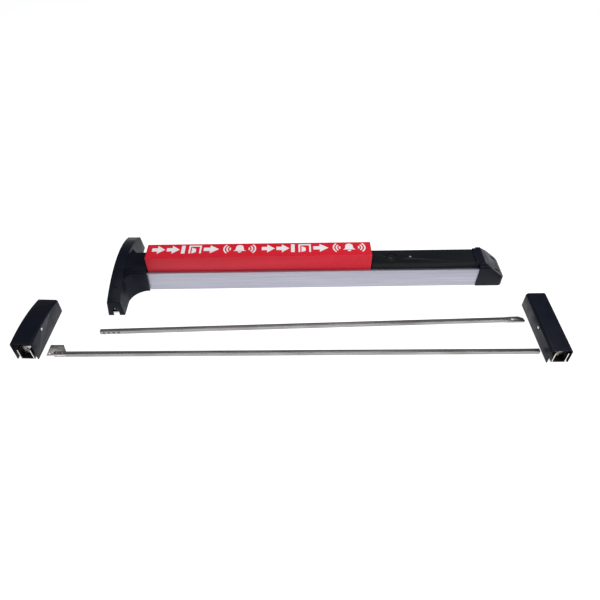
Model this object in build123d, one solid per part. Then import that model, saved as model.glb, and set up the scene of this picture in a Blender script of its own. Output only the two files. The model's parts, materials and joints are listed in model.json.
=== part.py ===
"""Panic exit bar with alarm and surface vertical rods, laid out as a kit on its back.

Millimetres, +Z away from the door.  The door face is z = 0, and the origin is the centre of the
head's four mounting holes.  +X runs along the bar from the head to the end cap, +Y is up the door.
The two rods and the two latch cases lie loose in front of the bar, also with their backs on z = 0.
"""
import os
from math import asin, atan2, cos, degrees, hypot, radians, sin

from build123d import *

# ---------------------------------------------------------------- clearances and common thicknesses
RUNNING = 0.05          # radial gap of a pin that turns in a hole
SLIDE_GAP = 0.35        # gap each side of a pin that runs in a slot
FIT_GAP = 0.3           # gap between neighbouring casings
BODY_GAP = 0.8          # gap between a moving piece and its surroundings
PLATE = 3.0             # heavy steel plate of chassis and brackets
SHEET = 2.0             # folded steel sheet
MOULD = 2.2             # wall of the moulded covers

# ---------------------------------------------------------------- motion
PAD_TRAVEL = 19.0       # push pad, from proud to pressed
ROD_TRAVEL = 12.0       # each rod and latch bolt

# ---------------------------------------------------------------- rail
RAIL_START = 22.0
RAIL_LENGTH = 778.0
RAIL_WIDTH = 61.0
RAIL_HEIGHT = 46.6
RAIL_WALL = 2.2
RAIL_BASE = 3.0
LIP_WIDTH = 6.5
LIP_THICKNESS = 2.4
RIB = 1.5               # inner stiffening rib of the extrusion

# ---------------------------------------------------------------- push pad
PAD_START = 59.3
PAD_LENGTH = 483.5
PAD_TOP = 85.0
PAD_WALL = 2.2
PAD_LIP_GAP = 0.9       # pad side to rail lip
PAD_FLANGE = 2.2        # thickness of the flange that the rail lips hold back
PAD_EDGE_RADIUS = 1.8
SIGN_THICKNESS = 0.4
SIGN_MARGIN = 2.6
INSERT_LENGTH = 12.0

# ---------------------------------------------------------------- bell cranks and drive bar
CRANK_PLACES = (150.0, 490.0)
CRANK_Z = 34.0
PAD_ARM = 38.0
DRIVE_ARM = PAD_ARM * ROD_TRAVEL / PAD_TRAVEL
CHEEK_INNER = 2.6
CHEEK = 2.6
PIVOT_RADIUS = 3.0
PAD_PIN_RADIUS = 2.5
DRIVE_PIN_RADIUS = 2.0
BRACKET_HALF_WIDTH = 12.4
BRACKET_HALF_LENGTH = 22.0
BRACKET_SCREW_X = 17.0
BRACKET_SCREW_Y = 6.0
BAR_THICKNESS = 3.0
BAR_LOW = 6.0
BAR_HIGH = 18.0
EAR_INNER = 6.2         # inner face of the pad bracket's ears
PAD_BRACKET_MARGIN = 5.0    # beyond the slot's ends
EAR_MARGIN = 3.5            # below the slot
PAD_RIVET_OFFSETS = (-3.5, 4.5)
CRANK_EAR_WIDTH = 18.0
CRANK_EAR_FOOT = 9.0
PIN_HEAD = 1.5
PIVOT_HEAD_RADIUS = 4.5
PIVOT_CLIP_RADIUS = 4.2
PAD_ARM_WIDTH = 10.0
DRIVE_ARM_WIDTH = 8.4
CRANK_EYE_RADIUS = 7.5
CRANK_HUB_RADIUS = 6.0
PAD_PIN_OVERHANG = 1.2
DRIVE_PIN_OVERHANG = 0.6
BAR_TAIL = 14.0         # drive bar beyond the last crank
FORK_MARGIN = 2.4       # round the slot of the drive bar's fork
FORK_ROOT = 8.0
FORK_INNER_Y = -6.2
FORK_WIDE_Y = -7.0

# ---------------------------------------------------------------- springs under the pad
SPRING_PLACES = (230.0, 400.0)
SPRING_Y = 12.0
SPRING_RADIUS = 5.6
SPRING_WIRE = 1.2
SPRING_TURNS = 9
SPRING_TOP = 53.0
CUP_RADIUS = 7.8
CUP_DEPTH = 3.0
POST_RADIUS = 4.2
POST_HEIGHT = 9.0
STOP_RADIUS = 2.2
STOP_PLACES = (95.0, 525.0)
SWITCH_X = 450.0
SWITCH_LENGTH = 16.0
SWITCH_WIDTH = 6.4
BUTTON_RADIUS = 1.2
BUTTON_HEIGHT = 2.0
BUTTON_PLACE = 5.6      # from the switch's end
SWITCH_BEVEL = 0.8
KEY_SWITCH_Y = 13.0

# ---------------------------------------------------------------- head
HEAD_LOW = -108.0       # the head's lower end
HEAD_HIGH = 115.0       # and its upper end
SPINE_WIDTH = 35.0
SPINE_DRAFT = 5.5       # degrees of each long side
HEAD_PEAK = 63.0
ARCH_RADIUS = 223.0     # of the head's arched back
ARCH_Y = 4.5            # where the arch is highest
HEAD_END_RADIUS = 11.0
COLLAR_END = 57.0
COLLAR_SIDE = 4.5       # collar beyond each side of the rail
COLLAR_TOP = 60.0
WING_RADIUS = 40.0      # concave sweep from collar to spine, at the door
WING_DRAFT = 11.0       # degrees that its wall leans back
COLLAR_TREAD = 3.0
COLLAR_STEPS = 3        # up each side of the collar
ROD_SLOT_SIDE = 2.03    # slot beyond each side of the rod
CHASSIS_SIDE_GAP = 1.3  # chassis plate to the cover's inner wall
CHASSIS_HALF_LENGTH = 100.0
CHASSIS_WIDE_Y = 30.0
CHASSIS_END = 20.0
HEAD_HOLE_X = 8.5
HEAD_HOLE_Y = 54.0
MOUNT_HOLE_RADIUS = 2.75
COVER_SCREW_Y = 84.0
COVER_SCREW_Z = 8.0
COVER_SCREW_LENGTH = 5.0
SPOT_FACE_DEPTH = 1.6
HOLD_TAB_HALF = 6.0      # chassis tab for the cover screw
HOLD_TAB_RISE = 5.0
BAR_CLEARANCE = 4.0     # over the drive bar in the head's front wall

ROCKER_X = 3.5
ROCKER_ARM = 12.0
ROCKER_LOW = 12.0
ROCKER_THICKNESS = 3.0
ROCKER_PIN_RADIUS = 1.75
ROCKER_POST_RADIUS = 3.0
POST_FOOT = 1.5         # shoulder and head of the rocker's post
POST_HEAD = 1.4
POST_HEAD_TOP = 1.8
ROCKER_EYE_RADIUS = 7.0
ROCKER_ARM_MARGIN = 3.6
ROCKER_PIN_PROUD = 0.8
TAB_LOW = 8.0
TAB_THICKNESS = 2.5
LIFTER_LOW = 17.6
LIFTER_THICKNESS = 2.5
LIFTER_HALF_WIDTH = 5.0
LIFTER_END = 96.0
LIFTER_ELBOW = 24.0
LIFTER_MARGINS = (1.5, 1.3, 2.2)    # round the pin slot: far, near and inner
ELBOW_WIDTH = 8.0
SOCKET_FLOOR_CUT = 0.6
SOCKET_LIFT = 0.23      # socket block above the chassis plate
SOCKET_LENGTH = 24.0
SOCKET_DEPTH = 18.0
SOCKET_WALL = 2.6
SOCKET_GAP = 0.3
GUIDE_Y = (40.0, 48.0)
GUIDE_HALF_WIDTH = 11.0
GUIDE_HEIGHT = 24.0

# ---------------------------------------------------------------- alarm end
COVER_GAP = 2.2
COVER_TOP = 60.0
COVER_EDGE_RADIUS = 1.4
CYLINDER_X = 588.8
CYLINDER_RADIUS = 13.0
CYLINDER_LOW = 26.0
CYLINDER_TOP = 59.2
PLUG_RADIUS = 6.35
NUT_RADIUS = 16.5
NUT_THICKNESS = 5.0
CAM_THICKNESS = 2.5
CAM_REACH = 15.0
CAM_WIDTH = 9.0
CYLINDER_BEVEL = 1.0
KEYWAY_ENDS = (-4.2, 3.4)
KEYWAY_HALF_WIDTH = 0.8
KEYWAY_DEPTH = 22.0
LAMP_X = 630.4
LAMP_RADIUS = 2.5
LAMP_PROUD = 0.2
LAMP_BODY = 4.0         # below the cover
LAMP_FLANGE = (0.9, 1.2)    # reach and thickness
LEAD_RADIUS = 0.35
LEAD_OFFSET = 1.27
TRAY_HALF_WIDTH = 21.5
TRAY_HEIGHT = 14.0
BOARD_HALF_WIDTH = 17.0
BOARD_THICKNESS = 1.6
STANDOFF = 5.0
STANDOFF_RADIUS = 2.6
STANDOFF_INSETS = (5.0, 4.0)    # from the board's ends and sides
TRAY_GAPS = (10.0, 6.0)    # from the cover's ends
TRAY_SHELF = 28.0          # open end under the sounder
BOARD_GAPS = (8.0, 12.0)   # before the lamp, and from the cover's end
CHIP_HALF = (2.5, 3.5)
CHIP_HEIGHT = 2.4
BATTERY = (48.5, 26.5, 17.5)
BATTERY_X = 676.0
HOLDER_HEIGHT = 10.0
TERMINAL_RADIUS = 3.0
TERMINAL_LENGTH = 2.5
TERMINAL_Y = 6.3
BATTERY_EDGE = 2.0
SOUNDER_X = 735.0
SOUNDER_RADIUS = 15.0
SOUNDER_HEIGHT = 18.0
SOUNDER_EDGE = 2.0
SOUNDER_HOLE = (2.5, 6.0)   # radius and depth

# ---------------------------------------------------------------- end cap
NECK_INSET = 29.0       # narrow neck between the rail's lips, from before the rail's end
NECK_SIDE_GAP = 0.4
CAP_INSET = 21.6        # full body round the rail, from before its end
CAP_OVERHANG = 37.0     # cap beyond the rail's end
CAP_TOP = 62.0
CAP_WALL = 1.9
CAP_TREAD = 2.8
CAP_STEPS = 2           # up each side of the cap
RIDGE_INSET = 10.7      # where the flat top turns into the slope, before the rail's end
CAP_SLOPE = 39.5        # degrees
CAP_CORNER_RADIUS = 9.0
CAP_SCREW_REACH = 21.0  # beyond the rail's end
CAP_SCREW_Y = 20.3
CAP_POCKET_LENGTH = 11.5
CAP_POCKET_WIDTH = 5.4
CAP_SEAT = 14.5
CAP_BOSS_Z = 12.0
END_HOLE_REACH = 10.0
END_HOLE_Y = 11.0
BRACKET_SIDE_GAP = 4.0  # end bracket inside the rail's width
BRACKET_END_GAP = 2.6
BRACKET_TONGUE = 24.0   # in the rail
BRACKET_LAP = 6.0       # of the tongue on the plate
BRACKET_TONGUE_INSET = 8.0
BOSS_RADIUS = 4.4

# ---------------------------------------------------------------- rods
ROD_SIDE = 7.94
TOP_ROD_LENGTH = 970.0
TOP_ROD_START = (-112.4, -215.1)
TOP_ROD_ANGLE = -0.61
BOTTOM_ROD_LENGTH = 876.0
BOTTOM_ROD_START = (-22.1, -157.6)
BOTTOM_ROD_ANGLE = 1.2
ROD_HOLE_RADIUS = 2.0
ROD_HOLE_FIRST = 8.0
ROD_HOLE_PITCH = 10.0
ROD_HOLE_COUNT = 4
FLAG_LENGTH = 26.0
FLAG_SHOULDER = 37.0
FLAG_WIDTH = 27.0
FLAG_THICKNESS = 3.0
FLAG_HOLE_RADIUS = 2.1
FLAG_ROOT = 14.0        # how far the rod stands back from the flag's edge
FLAG_HOLE_PLACE = (5.0, 0.5)
FLAG_RIVET_INSETS = (5.0, 6.0)
RIVET_RADIUS = 1.5
RIVET_PROUD = 0.5       # how far a rivet stands out of the rod's top
RIVET_HEAD_RADIUS = 2.85
RIVET_HEAD_HEIGHT = 1.2
TONGUE_LENGTH = 42.0
TONGUE_WIDTH = 14.5
TONGUE_THICKNESS = 3.0
TONGUE_HOLE_RADIUS = 2.75
TONGUE_SHANK = 12.0
TONGUE_HOLE_X = 5.0     # from the tongue's flat root
TONGUE_BEVEL = 1.5      # lower corner of the tip
TONGUE_SLANT = 11.0     # length of the slanted upper corner
TONGUE_POINT = 2.0      # and what is left of it at the tip
TONGUE_POINT_Y = 2.5

# ---------------------------------------------------------------- latch cases
CASE_WALL = 2.0
CASE_EDGE_RADIUS = 2.0  # round the far end
CASE_HOLD = 2.8         # tab above and below the cover screw
CHANNEL_WIDTH = 27.0
CHANNEL_HEIGHT = 27.0
CARRIAGE_START = 14.0
CARRIAGE_HALF_WIDTH = 8.0
BOLT_HALF_WIDTH = 9.0
BOLT_THROW = 12.5
BOLT_LOW = 4.0
BOLT_HIGH = 18.0
BOLT_LENGTH = 46.0
LATCH_SPRING_START = 40.0
LATCH_SPRING_LENGTH = 34.0
LATCH_SPRING_RADIUS = 4.6
LATCH_SPRING_WIRE = 1.1
LATCH_SPRING_Z = 16.0
BRIDGE_DROP = 5.0       # spring bridge and lug: below the spring's axis
BRIDGE_GAP = 3.0        # and below the channel's rim
HOLD_HALF_LENGTH = 6.0  # tab that takes the cover screw
HOLD_DROP = 5.5         # its foot below the channel's rim
ROD_EYE_X = -2.0        # hole for the rod in the carriage's end plate
ROD_EYE_Z = 14.85
NOTCH_RADIUS = 5.5
NOTCH_RISE = 2.0
NOSE_FLAT = 1.5         # bolt nose: level part inside the case
NOSE_FACE = 5.0         # and upright face at its tip
CHANNEL_SET_BACK = 0.5
LATCH_HOLE_START = 24.0
LATCH_HOLE_END = 30.0   # from the far end
TOP_CASE = {
    "place": (-148.2, -223.7), "angle": -3.0, "width": 43.0, "length": 133.0,
    "mouth_height": 45.5, "middle_height": 45.8, "far_height": 33.5, "roof_radius": 4.5,
    "channel_x": 0.0, "screw_side": 1, "screw_y": 45.5, "screw_z": 38.8,
}
BOTTOM_CASE = {
    "place": (884.3, -251.3), "angle": 0.0, "width": 42.3, "length": 158.0,
    "mouth_height": 36.0, "middle_height": 36.0, "far_height": 36.0, "roof_radius": 6.0,
    "channel_x": 2.0, "screw_side": -1, "screw_y": 68.0, "screw_z": 27.0,
}

# ---------------------------------------------------------------- fasteners
SCREW_RADIUS = 2.0
SCREW_HEAD_RADIUS = 3.5
SCREW_HEAD_HEIGHT = 2.0
SMALL_SCREW_RADIUS = 1.5
SMALL_HEAD_RADIUS = 2.8
SPLICE_SCREW_INSET = 6.0    # from the chassis plate's edge
SPLICE_SCREW_Y = 18.0
RAIL_FIRST_SCREW = 14.0     # from the rail's head end
RAIL_LAST_SCREW = 12.0      # from its other end
SPLICE_OVERLAP = 12.0       # on the chassis plate
SPLICE_REACH = 24.0         # in the rail
SPLICE_HALF_WIDTH = 24.0

# ---------------------------------------------------------------- worked out from the above
RAIL_END = RAIL_START + RAIL_LENGTH
RAIL_HALF = RAIL_WIDTH / 2
RAIL_INNER = RAIL_HALF - RAIL_WALL
MOUTH_HALF = RAIL_HALF - LIP_WIDTH
LIP_UNDER = RAIL_HEIGHT - LIP_THICKNESS
PAD_END = PAD_START + PAD_LENGTH
PAD_HALF = MOUTH_HALF - PAD_LIP_GAP
PAD_ROOF = PAD_TOP - SIGN_THICKNESS
PAD_CEILING = PAD_ROOF - PAD_WALL
FLANGE_TOP = LIP_UNDER - FIT_GAP
FLANGE_LOW = FLANGE_TOP - PAD_FLANGE
FLANGE_HALF = RAIL_INNER - BODY_GAP
FLOOR = RAIL_BASE                       # inner floor of the rail
CRANK_SWING = 2 * degrees(asin(PAD_TRAVEL / 2 / PAD_ARM))
ROCKER_SWING = 2 * degrees(asin(ROD_TRAVEL / 2 / ROCKER_ARM))
NECK_START = RAIL_END - NECK_INSET
NECK_HALF_WIDTH = MOUTH_HALF - NECK_SIDE_GAP
CAP_START = RAIL_END - CAP_INSET
CAP_END = RAIL_END + CAP_OVERHANG
CAP_RIDGE = RAIL_END - RIDGE_INSET
CAP_SCREW_X = RAIL_END + CAP_SCREW_REACH
END_HOLE_X = RAIL_END + END_HOLE_REACH
COLLAR_HALF_WIDTH = RAIL_HALF + COLLAR_SIDE
CHASSIS_HALF_WIDTH = SPINE_WIDTH / 2 - MOULD - CHASSIS_SIDE_GAP
SOCKET_Z = PLATE + SOCKET_LIFT + SOCKET_WALL - SOCKET_FLOOR_CUT + SOCKET_GAP + ROD_SIDE / 2
ROD_SLOT_WIDTH = ROD_SIDE + 2 * ROD_SLOT_SIDE
ROD_SLOT_HEIGHT = 2 * SOCKET_Z
COVER_START = PAD_END + COVER_GAP
COVER_END = NECK_START - FIT_GAP
SPLICE_TOP = PLATE + TAB_THICKNESS
ROD_Z = ROD_SIDE / 2
STEP_FOOT = RAIL_HEIGHT + FIT_GAP + MOULD     # lowest tread of collar and end cap


# ================================================================ helpers
def box(x, y, z):
    """A block between pairs of limits."""
    size = (x[1] - x[0], y[1] - y[0], z[1] - z[0])
    centre = Pos((x[0] + x[1]) / 2, (y[0] + y[1]) / 2, (z[0] + z[1]) / 2)
    return centre * Box(*size)


def post(radius, x, y, z):
    """A round bar standing along Z between two heights."""
    return Pos(x, y, (z[0] + z[1]) / 2) * Cylinder(radius, z[1] - z[0])


def pin_y(radius, x, z, y):
    """A round bar along Y."""
    return Pos(x, (y[0] + y[1]) / 2, z) * Rot(90, 0, 0) * Cylinder(radius, y[1] - y[0])


def pin_x(radius, y, z, x):
    """A round bar along X."""
    return Pos((x[0] + x[1]) / 2, y, z) * Rot(0, 90, 0) * Cylinder(radius, x[1] - x[0])


def outline(*points):
    """A flat face with straight sides."""
    return Polygon(*points, align=None)


def along_x(face, x):
    """Push a face drawn in (y, z) along X."""
    plane = Plane(origin=(x[0], 0, 0), x_dir=(0, 1, 0), z_dir=(1, 0, 0))
    return extrude(plane * face, amount=x[1] - x[0])


def across_y(face, y):
    """Push a face drawn in (x, z) along Y."""
    plane = Plane(origin=(0, y[1], 0), x_dir=(1, 0, 0), z_dir=(0, -1, 0))
    return extrude(plane * face, amount=y[1] - y[0])


def upwards(face, z):
    """Push a face drawn in (x, y) along Z."""
    return extrude(Pos(0, 0, z[0]) * face, amount=z[1] - z[0])


def link(start, end, width):
    """The flat outline of a bar with round ends between two pin centres."""
    length = hypot(end[0] - start[0], end[1] - start[1])
    angle = degrees(atan2(end[1] - start[1], end[0] - start[0]))
    middle = Pos((start[0] + end[0]) / 2, (start[1] + end[1]) / 2)
    bar = middle * Rot(0, 0, angle) * Rectangle(length, width)
    return bar + Pos(*start) * Circle(width / 2) + Pos(*end) * Circle(width / 2)


def both_sides(shape):
    """A shape and its mirror image across the bar's middle plane."""
    return shape + mirror(shape, about=Plane.XZ)


def group(*shapes):
    """Separate solids kept in one node."""
    return Compound([solid for shape in shapes for solid in shape.solids()])


def spring(radius, wire, turns, length):
    """A coil spring along +Z from the origin, with its end coils set in from both ends."""
    coil_height = length - wire
    path = Pos(0, 0, wire / 2) * Helix(coil_height / turns, coil_height, radius)
    start = path @ 0
    face = Plane(origin=start, z_dir=path % 0) * Circle(wire / 2)
    return sweep(face, path=path, is_frenet=True)


def pan_screw(radius, head_radius, length):
    """A pan-head screw: head up from z = 0, shank down, with a cross recess."""
    head = upwards(Circle(head_radius), (0, SCREW_HEAD_HEIGHT))
    head = fillet(head.edges().sort_by(Axis.Z)[-1], SCREW_HEAD_HEIGHT * 0.45)
    shank = post(radius, 0, 0, (-length, 0))
    recess_width = head_radius * 0.28
    recess_length = head_radius * 1.2
    recess = Rectangle(recess_width, recess_length) + Rectangle(recess_length, recess_width)
    return head + shank - upwards(recess, (SCREW_HEAD_HEIGHT * 0.4, SCREW_HEAD_HEIGHT))


# ================================================================ rail and its fasteners
def rail_screw_spots():
    """Screws of the rail floor as (x, y, height of the plate under the head)."""
    spots = []
    for side in (-1, 1):
        spots.append((CHASSIS_END - SPLICE_SCREW_INSET, side * SPLICE_SCREW_Y, SPLICE_TOP))
        spots.append((RAIL_START + RAIL_FIRST_SCREW, side * SPLICE_SCREW_Y, SPLICE_TOP))
        spots.append((RAIL_END - RAIL_LAST_SCREW, side * END_HOLE_Y, SPLICE_TOP))
        for crank_x in CRANK_PLACES:
            x = crank_x + side * BRACKET_SCREW_X
            spots.append((x, BRACKET_SCREW_Y, FLOOR + SHEET))
            spots.append((x, -BRACKET_SCREW_Y, FLOOR + SHEET))
    return spots


def screw_holes():
    """The holes that the rail screws pass through."""
    holes = [post(SCREW_RADIUS, x, y, (-1, SPLICE_TOP + 1)) for x, y, _ in rail_screw_spots()]
    return group(*holes)


def rail_channel():
    """The extruded channel with inward lips and two low inner ribs."""
    span = (RAIL_START, RAIL_END)
    rail = box(span, (-RAIL_HALF, RAIL_HALF), (0, RAIL_HEIGHT))
    rail -= box(span, (-RAIL_INNER, RAIL_INNER), (RAIL_BASE, LIP_UNDER))
    rail -= box(span, (-MOUTH_HALF, MOUTH_HALF), (RAIL_BASE, RAIL_HEIGHT))
    rib = box(span, (RAIL_INNER - RIB, RAIL_INNER), (FLOOR + SHEET, FLOOR + SHEET + RIB))
    rail += both_sides(rib)
    return rail - screw_holes()


def rail_screws():
    """All screws that hold the brackets and plates to the rail and the head chassis."""
    screws = []
    for x, y, seat in rail_screw_spots():
        screw = pan_screw(SCREW_RADIUS, SCREW_HEAD_RADIUS, seat - 0.5)
        screws.append(Pos(x, y, seat) * screw)
    return group(*screws)


def splice_plate():
    """The flat plate that ties the head chassis to the rail floor."""
    span = (CHASSIS_END - SPLICE_OVERLAP, RAIL_START + SPLICE_REACH)
    plate = box(span, (-SPLICE_HALF_WIDTH, SPLICE_HALF_WIDTH), (PLATE, SPLICE_TOP))
    return plate - screw_holes()


# ================================================================ push pad
def push_pad():
    """The pressed channel that is pushed, with flanges held under the rail lips."""
    span = (PAD_START, PAD_END)
    pad = box(span, (-PAD_HALF, PAD_HALF), (FLANGE_LOW, PAD_ROOF))
    edges = pad.edges().filter_by(Axis.X).sort_by(Axis.Z)[-2:]
    pad = fillet(edges, PAD_EDGE_RADIUS)
    inner = PAD_HALF - PAD_WALL
    pad -= box(span, (-inner, inner), (FLANGE_LOW, PAD_CEILING))
    pad += both_sides(box(span, (inner, FLANGE_HALF), (FLANGE_LOW, FLANGE_TOP)))
    return pad - group(*pad_rivet_shanks())


def sign_label():
    """The thin sign panel that lies on the pad's top face."""
    half = PAD_HALF - SIGN_MARGIN
    span = (PAD_START + SIGN_MARGIN, PAD_END - SIGN_MARGIN)
    panel = box(span, (-half, half), (PAD_ROOF, PAD_TOP))
    return fillet(panel.edges().filter_by(Axis.Z), SIGN_MARGIN / 2)


def pad_end_inserts():
    """The two moulded blocks that close the pad's ends."""
    half = PAD_HALF - PAD_WALL
    inserts = []
    for outer, inner in ((PAD_START, PAD_START + INSERT_LENGTH), (PAD_END, PAD_END - INSERT_LENGTH)):
        low = min(outer, inner)
        high = max(outer, inner)
        block = box((low, high), (-half, half), (FLANGE_TOP, PAD_CEILING))
        wall = MOULD if outer < inner else -MOULD
        hollow = sorted((outer + wall, inner))
        block -= box(hollow, (-half + MOULD, half - MOULD), (FLANGE_TOP, PAD_CEILING))
        inserts.append(block)
    return group(*inserts)


def pad_pin_place(crank_x):
    """Where a bell crank's pad pin stands at rest, in x and z."""
    half_swing = radians(CRANK_SWING / 2)
    return crank_x - PAD_ARM * cos(half_swing), CRANK_Z + PAD_ARM * sin(half_swing)


def drive_pin_place(crank_x):
    """Where a bell crank's drive pin stands at rest, in x and z."""
    half_swing = radians(CRANK_SWING / 2)
    return crank_x - DRIVE_ARM * sin(half_swing), CRANK_Z - DRIVE_ARM * cos(half_swing)


def pad_bracket(crank_x):
    """A hat bracket under the pad, whose two ears hang down and take the crank's pin in slots."""
    pin_x_rest, pin_z = pad_pin_place(crank_x)
    far_x = crank_x - PAD_ARM
    reach = PAD_PIN_RADIUS + SLIDE_GAP
    ear_outer = EAR_INNER + SHEET
    span = (far_x - reach - PAD_BRACKET_MARGIN, pin_x_rest + reach + PAD_BRACKET_MARGIN)
    bracket = box(span, (-ear_outer, ear_outer), (PAD_CEILING - SHEET, PAD_CEILING))
    bracket += both_sides(box(span, (EAR_INNER, ear_outer), (pin_z - reach - EAR_MARGIN, PAD_CEILING)))
    slot = link((far_x, pin_z), (pin_x_rest, pin_z), 2 * reach)
    return bracket - across_y(slot, (-ear_outer - 1, ear_outer + 1))


def pad_brackets():
    """The two hat brackets, drilled for their rivets."""
    brackets = [pad_bracket(crank_x) for crank_x in CRANK_PLACES]
    shanks = group(*pad_rivet_shanks())
    return group(*[bracket - shanks for bracket in brackets])


def pad_rivet_shanks():
    """Shanks of the rivets between the pad's roof and its brackets."""
    shanks = []
    for crank_x in CRANK_PLACES:
        for offset in PAD_RIVET_OFFSETS:
            shanks.append(post(RIVET_RADIUS, crank_x - PAD_ARM + offset, 0, (PAD_CEILING - SHEET, PAD_ROOF)))
    return shanks


def pad_rivets():
    """Rivets with domed heads under the bracket."""
    rivets = []
    under = PAD_CEILING - SHEET
    for shank in pad_rivet_shanks():
        centre = shank.center()
        head = post(RIVET_HEAD_RADIUS, centre.X, centre.Y, (under - RIVET_HEAD_HEIGHT, under))
        rivets.append(shank + head)
    return group(*rivets)


def spring_spots():
    """The four places of the return springs."""
    return [(x, side * SPRING_Y) for x in SPRING_PLACES for side in (-1, 1)]


def spring_cups():
    """Moulded posts under the pad, each with a round pocket for a spring's top."""
    cups = []
    for x, y in spring_spots():
        cup = post(CUP_RADIUS, x, y, (SPRING_TOP - CUP_DEPTH, PAD_CEILING))
        pocket = post(SPRING_RADIUS + SPRING_WIRE, x, y, (SPRING_TOP - CUP_DEPTH, SPRING_TOP))
        cups.append(cup - pocket)
    return group(*cups)


def return_springs():
    """The compression springs between the rail floor and the pad."""
    coil = spring(SPRING_RADIUS, SPRING_WIRE, SPRING_TURNS, SPRING_TOP - FLOOR - 0.1)
    return group(*[Pos(x, y, FLOOR + 0.05) * coil for x, y in spring_spots()])


def spring_posts():
    """Short posts on the rail floor that keep the springs in place."""
    return group(*[post(POST_RADIUS, x, y, (FLOOR, FLOOR + POST_HEIGHT)) for x, y in spring_spots()])


def pad_stops():
    """Rubber bumpers under the pad's flanges."""
    top = FLANGE_LOW - PAD_TRAVEL - FIT_GAP
    y = RAIL_INNER - RIB - FIT_GAP - STOP_RADIUS
    stops = []
    for x in STOP_PLACES:
        for side in (-1, 1):
            bumper = post(STOP_RADIUS, x, side * y, (FLOOR, top))
            stops.append(fillet(bumper.edges().sort_by(Axis.Z)[-1], STOP_RADIUS / 2))
    return group(*stops)


def micro_switch(x, y, foot_z, top):
    """A micro switch on its foot, with its button reaching up to a height."""
    half_width = SWITCH_WIDTH / 2
    wide = (y - half_width, y + half_width)
    body_top = top - BUTTON_HEIGHT
    body = box((x, x + SWITCH_LENGTH), wide, (foot_z, body_top))
    body = chamfer(body.edges().filter_by(Axis.Y).sort_by(Axis.Z)[-2:], SWITCH_BEVEL)
    return body + post(BUTTON_RADIUS, x + BUTTON_PLACE, y, (body_top - 0.2, top))


def micro_switches():
    """The pad's switch at the end of its travel, and the key's switch under the cam's sweep."""
    pad_top = FLANGE_LOW - PAD_TRAVEL - FIT_GAP
    pad_y = RAIL_INNER - RIB - FIT_GAP - SWITCH_WIDTH / 2
    pad_switch = micro_switch(SWITCH_X, pad_y, FLOOR, pad_top)
    key_x = CYLINDER_X + CYLINDER_RADIUS + 1.0
    key_top = CYLINDER_LOW - CAM_THICKNESS - FIT_GAP
    key_switch = micro_switch(key_x, KEY_SWITCH_Y, FLOOR + SHEET, key_top)
    return group(pad_switch, key_switch)


# ================================================================ cranks and drive bar
def crank_brackets():
    """Two folded channels on the rail floor that carry the cranks' pivot pins."""
    brackets = []
    for crank_x in CRANK_PLACES:
        span = (crank_x - BRACKET_HALF_LENGTH, crank_x + BRACKET_HALF_LENGTH)
        wide = (-BRACKET_HALF_WIDTH, BRACKET_HALF_WIDTH)
        bracket = box(span, wide, (FLOOR, FLOOR + SHEET))
        ear_face = link((crank_x, FLOOR + CRANK_EAR_FOOT), (crank_x, CRANK_Z), CRANK_EAR_WIDTH)
        ear = across_y(ear_face, (BRACKET_HALF_WIDTH - SHEET, BRACKET_HALF_WIDTH))
        ear = ear & box(span, wide, (FLOOR, CRANK_Z + CRANK_EAR_WIDTH))
        bracket += both_sides(ear)
        bracket -= pin_y(PIVOT_RADIUS, crank_x, CRANK_Z, (-BRACKET_HALF_WIDTH - 1, BRACKET_HALF_WIDTH + 1))
        brackets.append(bracket - screw_holes())
    return group(*brackets)


def crank_pivot_pins():
    """Headed pins through each bracket and crank."""
    pins = []
    for crank_x in CRANK_PLACES:
        half = BRACKET_HALF_WIDTH
        pin = pin_y(PIVOT_RADIUS, crank_x, CRANK_Z, (-half - PIN_HEAD, half))
        pin += pin_y(PIVOT_HEAD_RADIUS, crank_x, CRANK_Z, (half, half + PIN_HEAD))
        pin += pin_y(PIVOT_CLIP_RADIUS, crank_x, CRANK_Z, (-half - PIN_HEAD, -half))
        pins.append(pin)
    return group(*pins)


def bell_crank(crank_x):
    """A forked crank: one arm to the pad, one down to the drive bar, two cheeks on a hub."""
    pivot = (crank_x, CRANK_Z)
    pad_pin = pad_pin_place(crank_x)
    drive_pin = drive_pin_place(crank_x)
    outer = CHEEK_INNER + CHEEK
    face = link(pivot, pad_pin, PAD_ARM_WIDTH) + link(pivot, drive_pin, DRIVE_ARM_WIDTH)
    face += Pos(*pivot) * Circle(CRANK_EYE_RADIUS)
    crank = both_sides(across_y(face, (CHEEK_INNER, outer)))
    crank += pin_y(CRANK_HUB_RADIUS, *pivot, (-outer, outer))
    crank -= pin_y(PIVOT_RADIUS + RUNNING, *pivot, (-outer - 1, outer + 1))
    crank -= pin_y(PAD_PIN_RADIUS, *pad_pin, (-outer - 1, outer + 1))
    return crank - pin_y(DRIVE_PIN_RADIUS, *drive_pin, (-outer - 1, outer + 1))


def bell_crank_pins(crank_x):
    """The pad pin and the drive pin pressed into one crank."""
    pad_reach = EAR_INNER + SHEET + PAD_PIN_OVERHANG
    pad_pin = pin_y(PAD_PIN_RADIUS, *pad_pin_place(crank_x), (-pad_reach, pad_reach))
    reach = CHEEK_INNER + CHEEK + DRIVE_PIN_OVERHANG
    drive_pin = pin_y(DRIVE_PIN_RADIUS, *drive_pin_place(crank_x), (-reach, reach))
    return group(pad_pin, drive_pin)


def rocker_pin_place(angle):
    """A rocker pin's place at rest, from its angle at mid travel."""
    turned = radians(angle - ROCKER_SWING / 2)
    return ROCKER_X + ROCKER_ARM * cos(turned), ROCKER_ARM * sin(turned)


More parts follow.
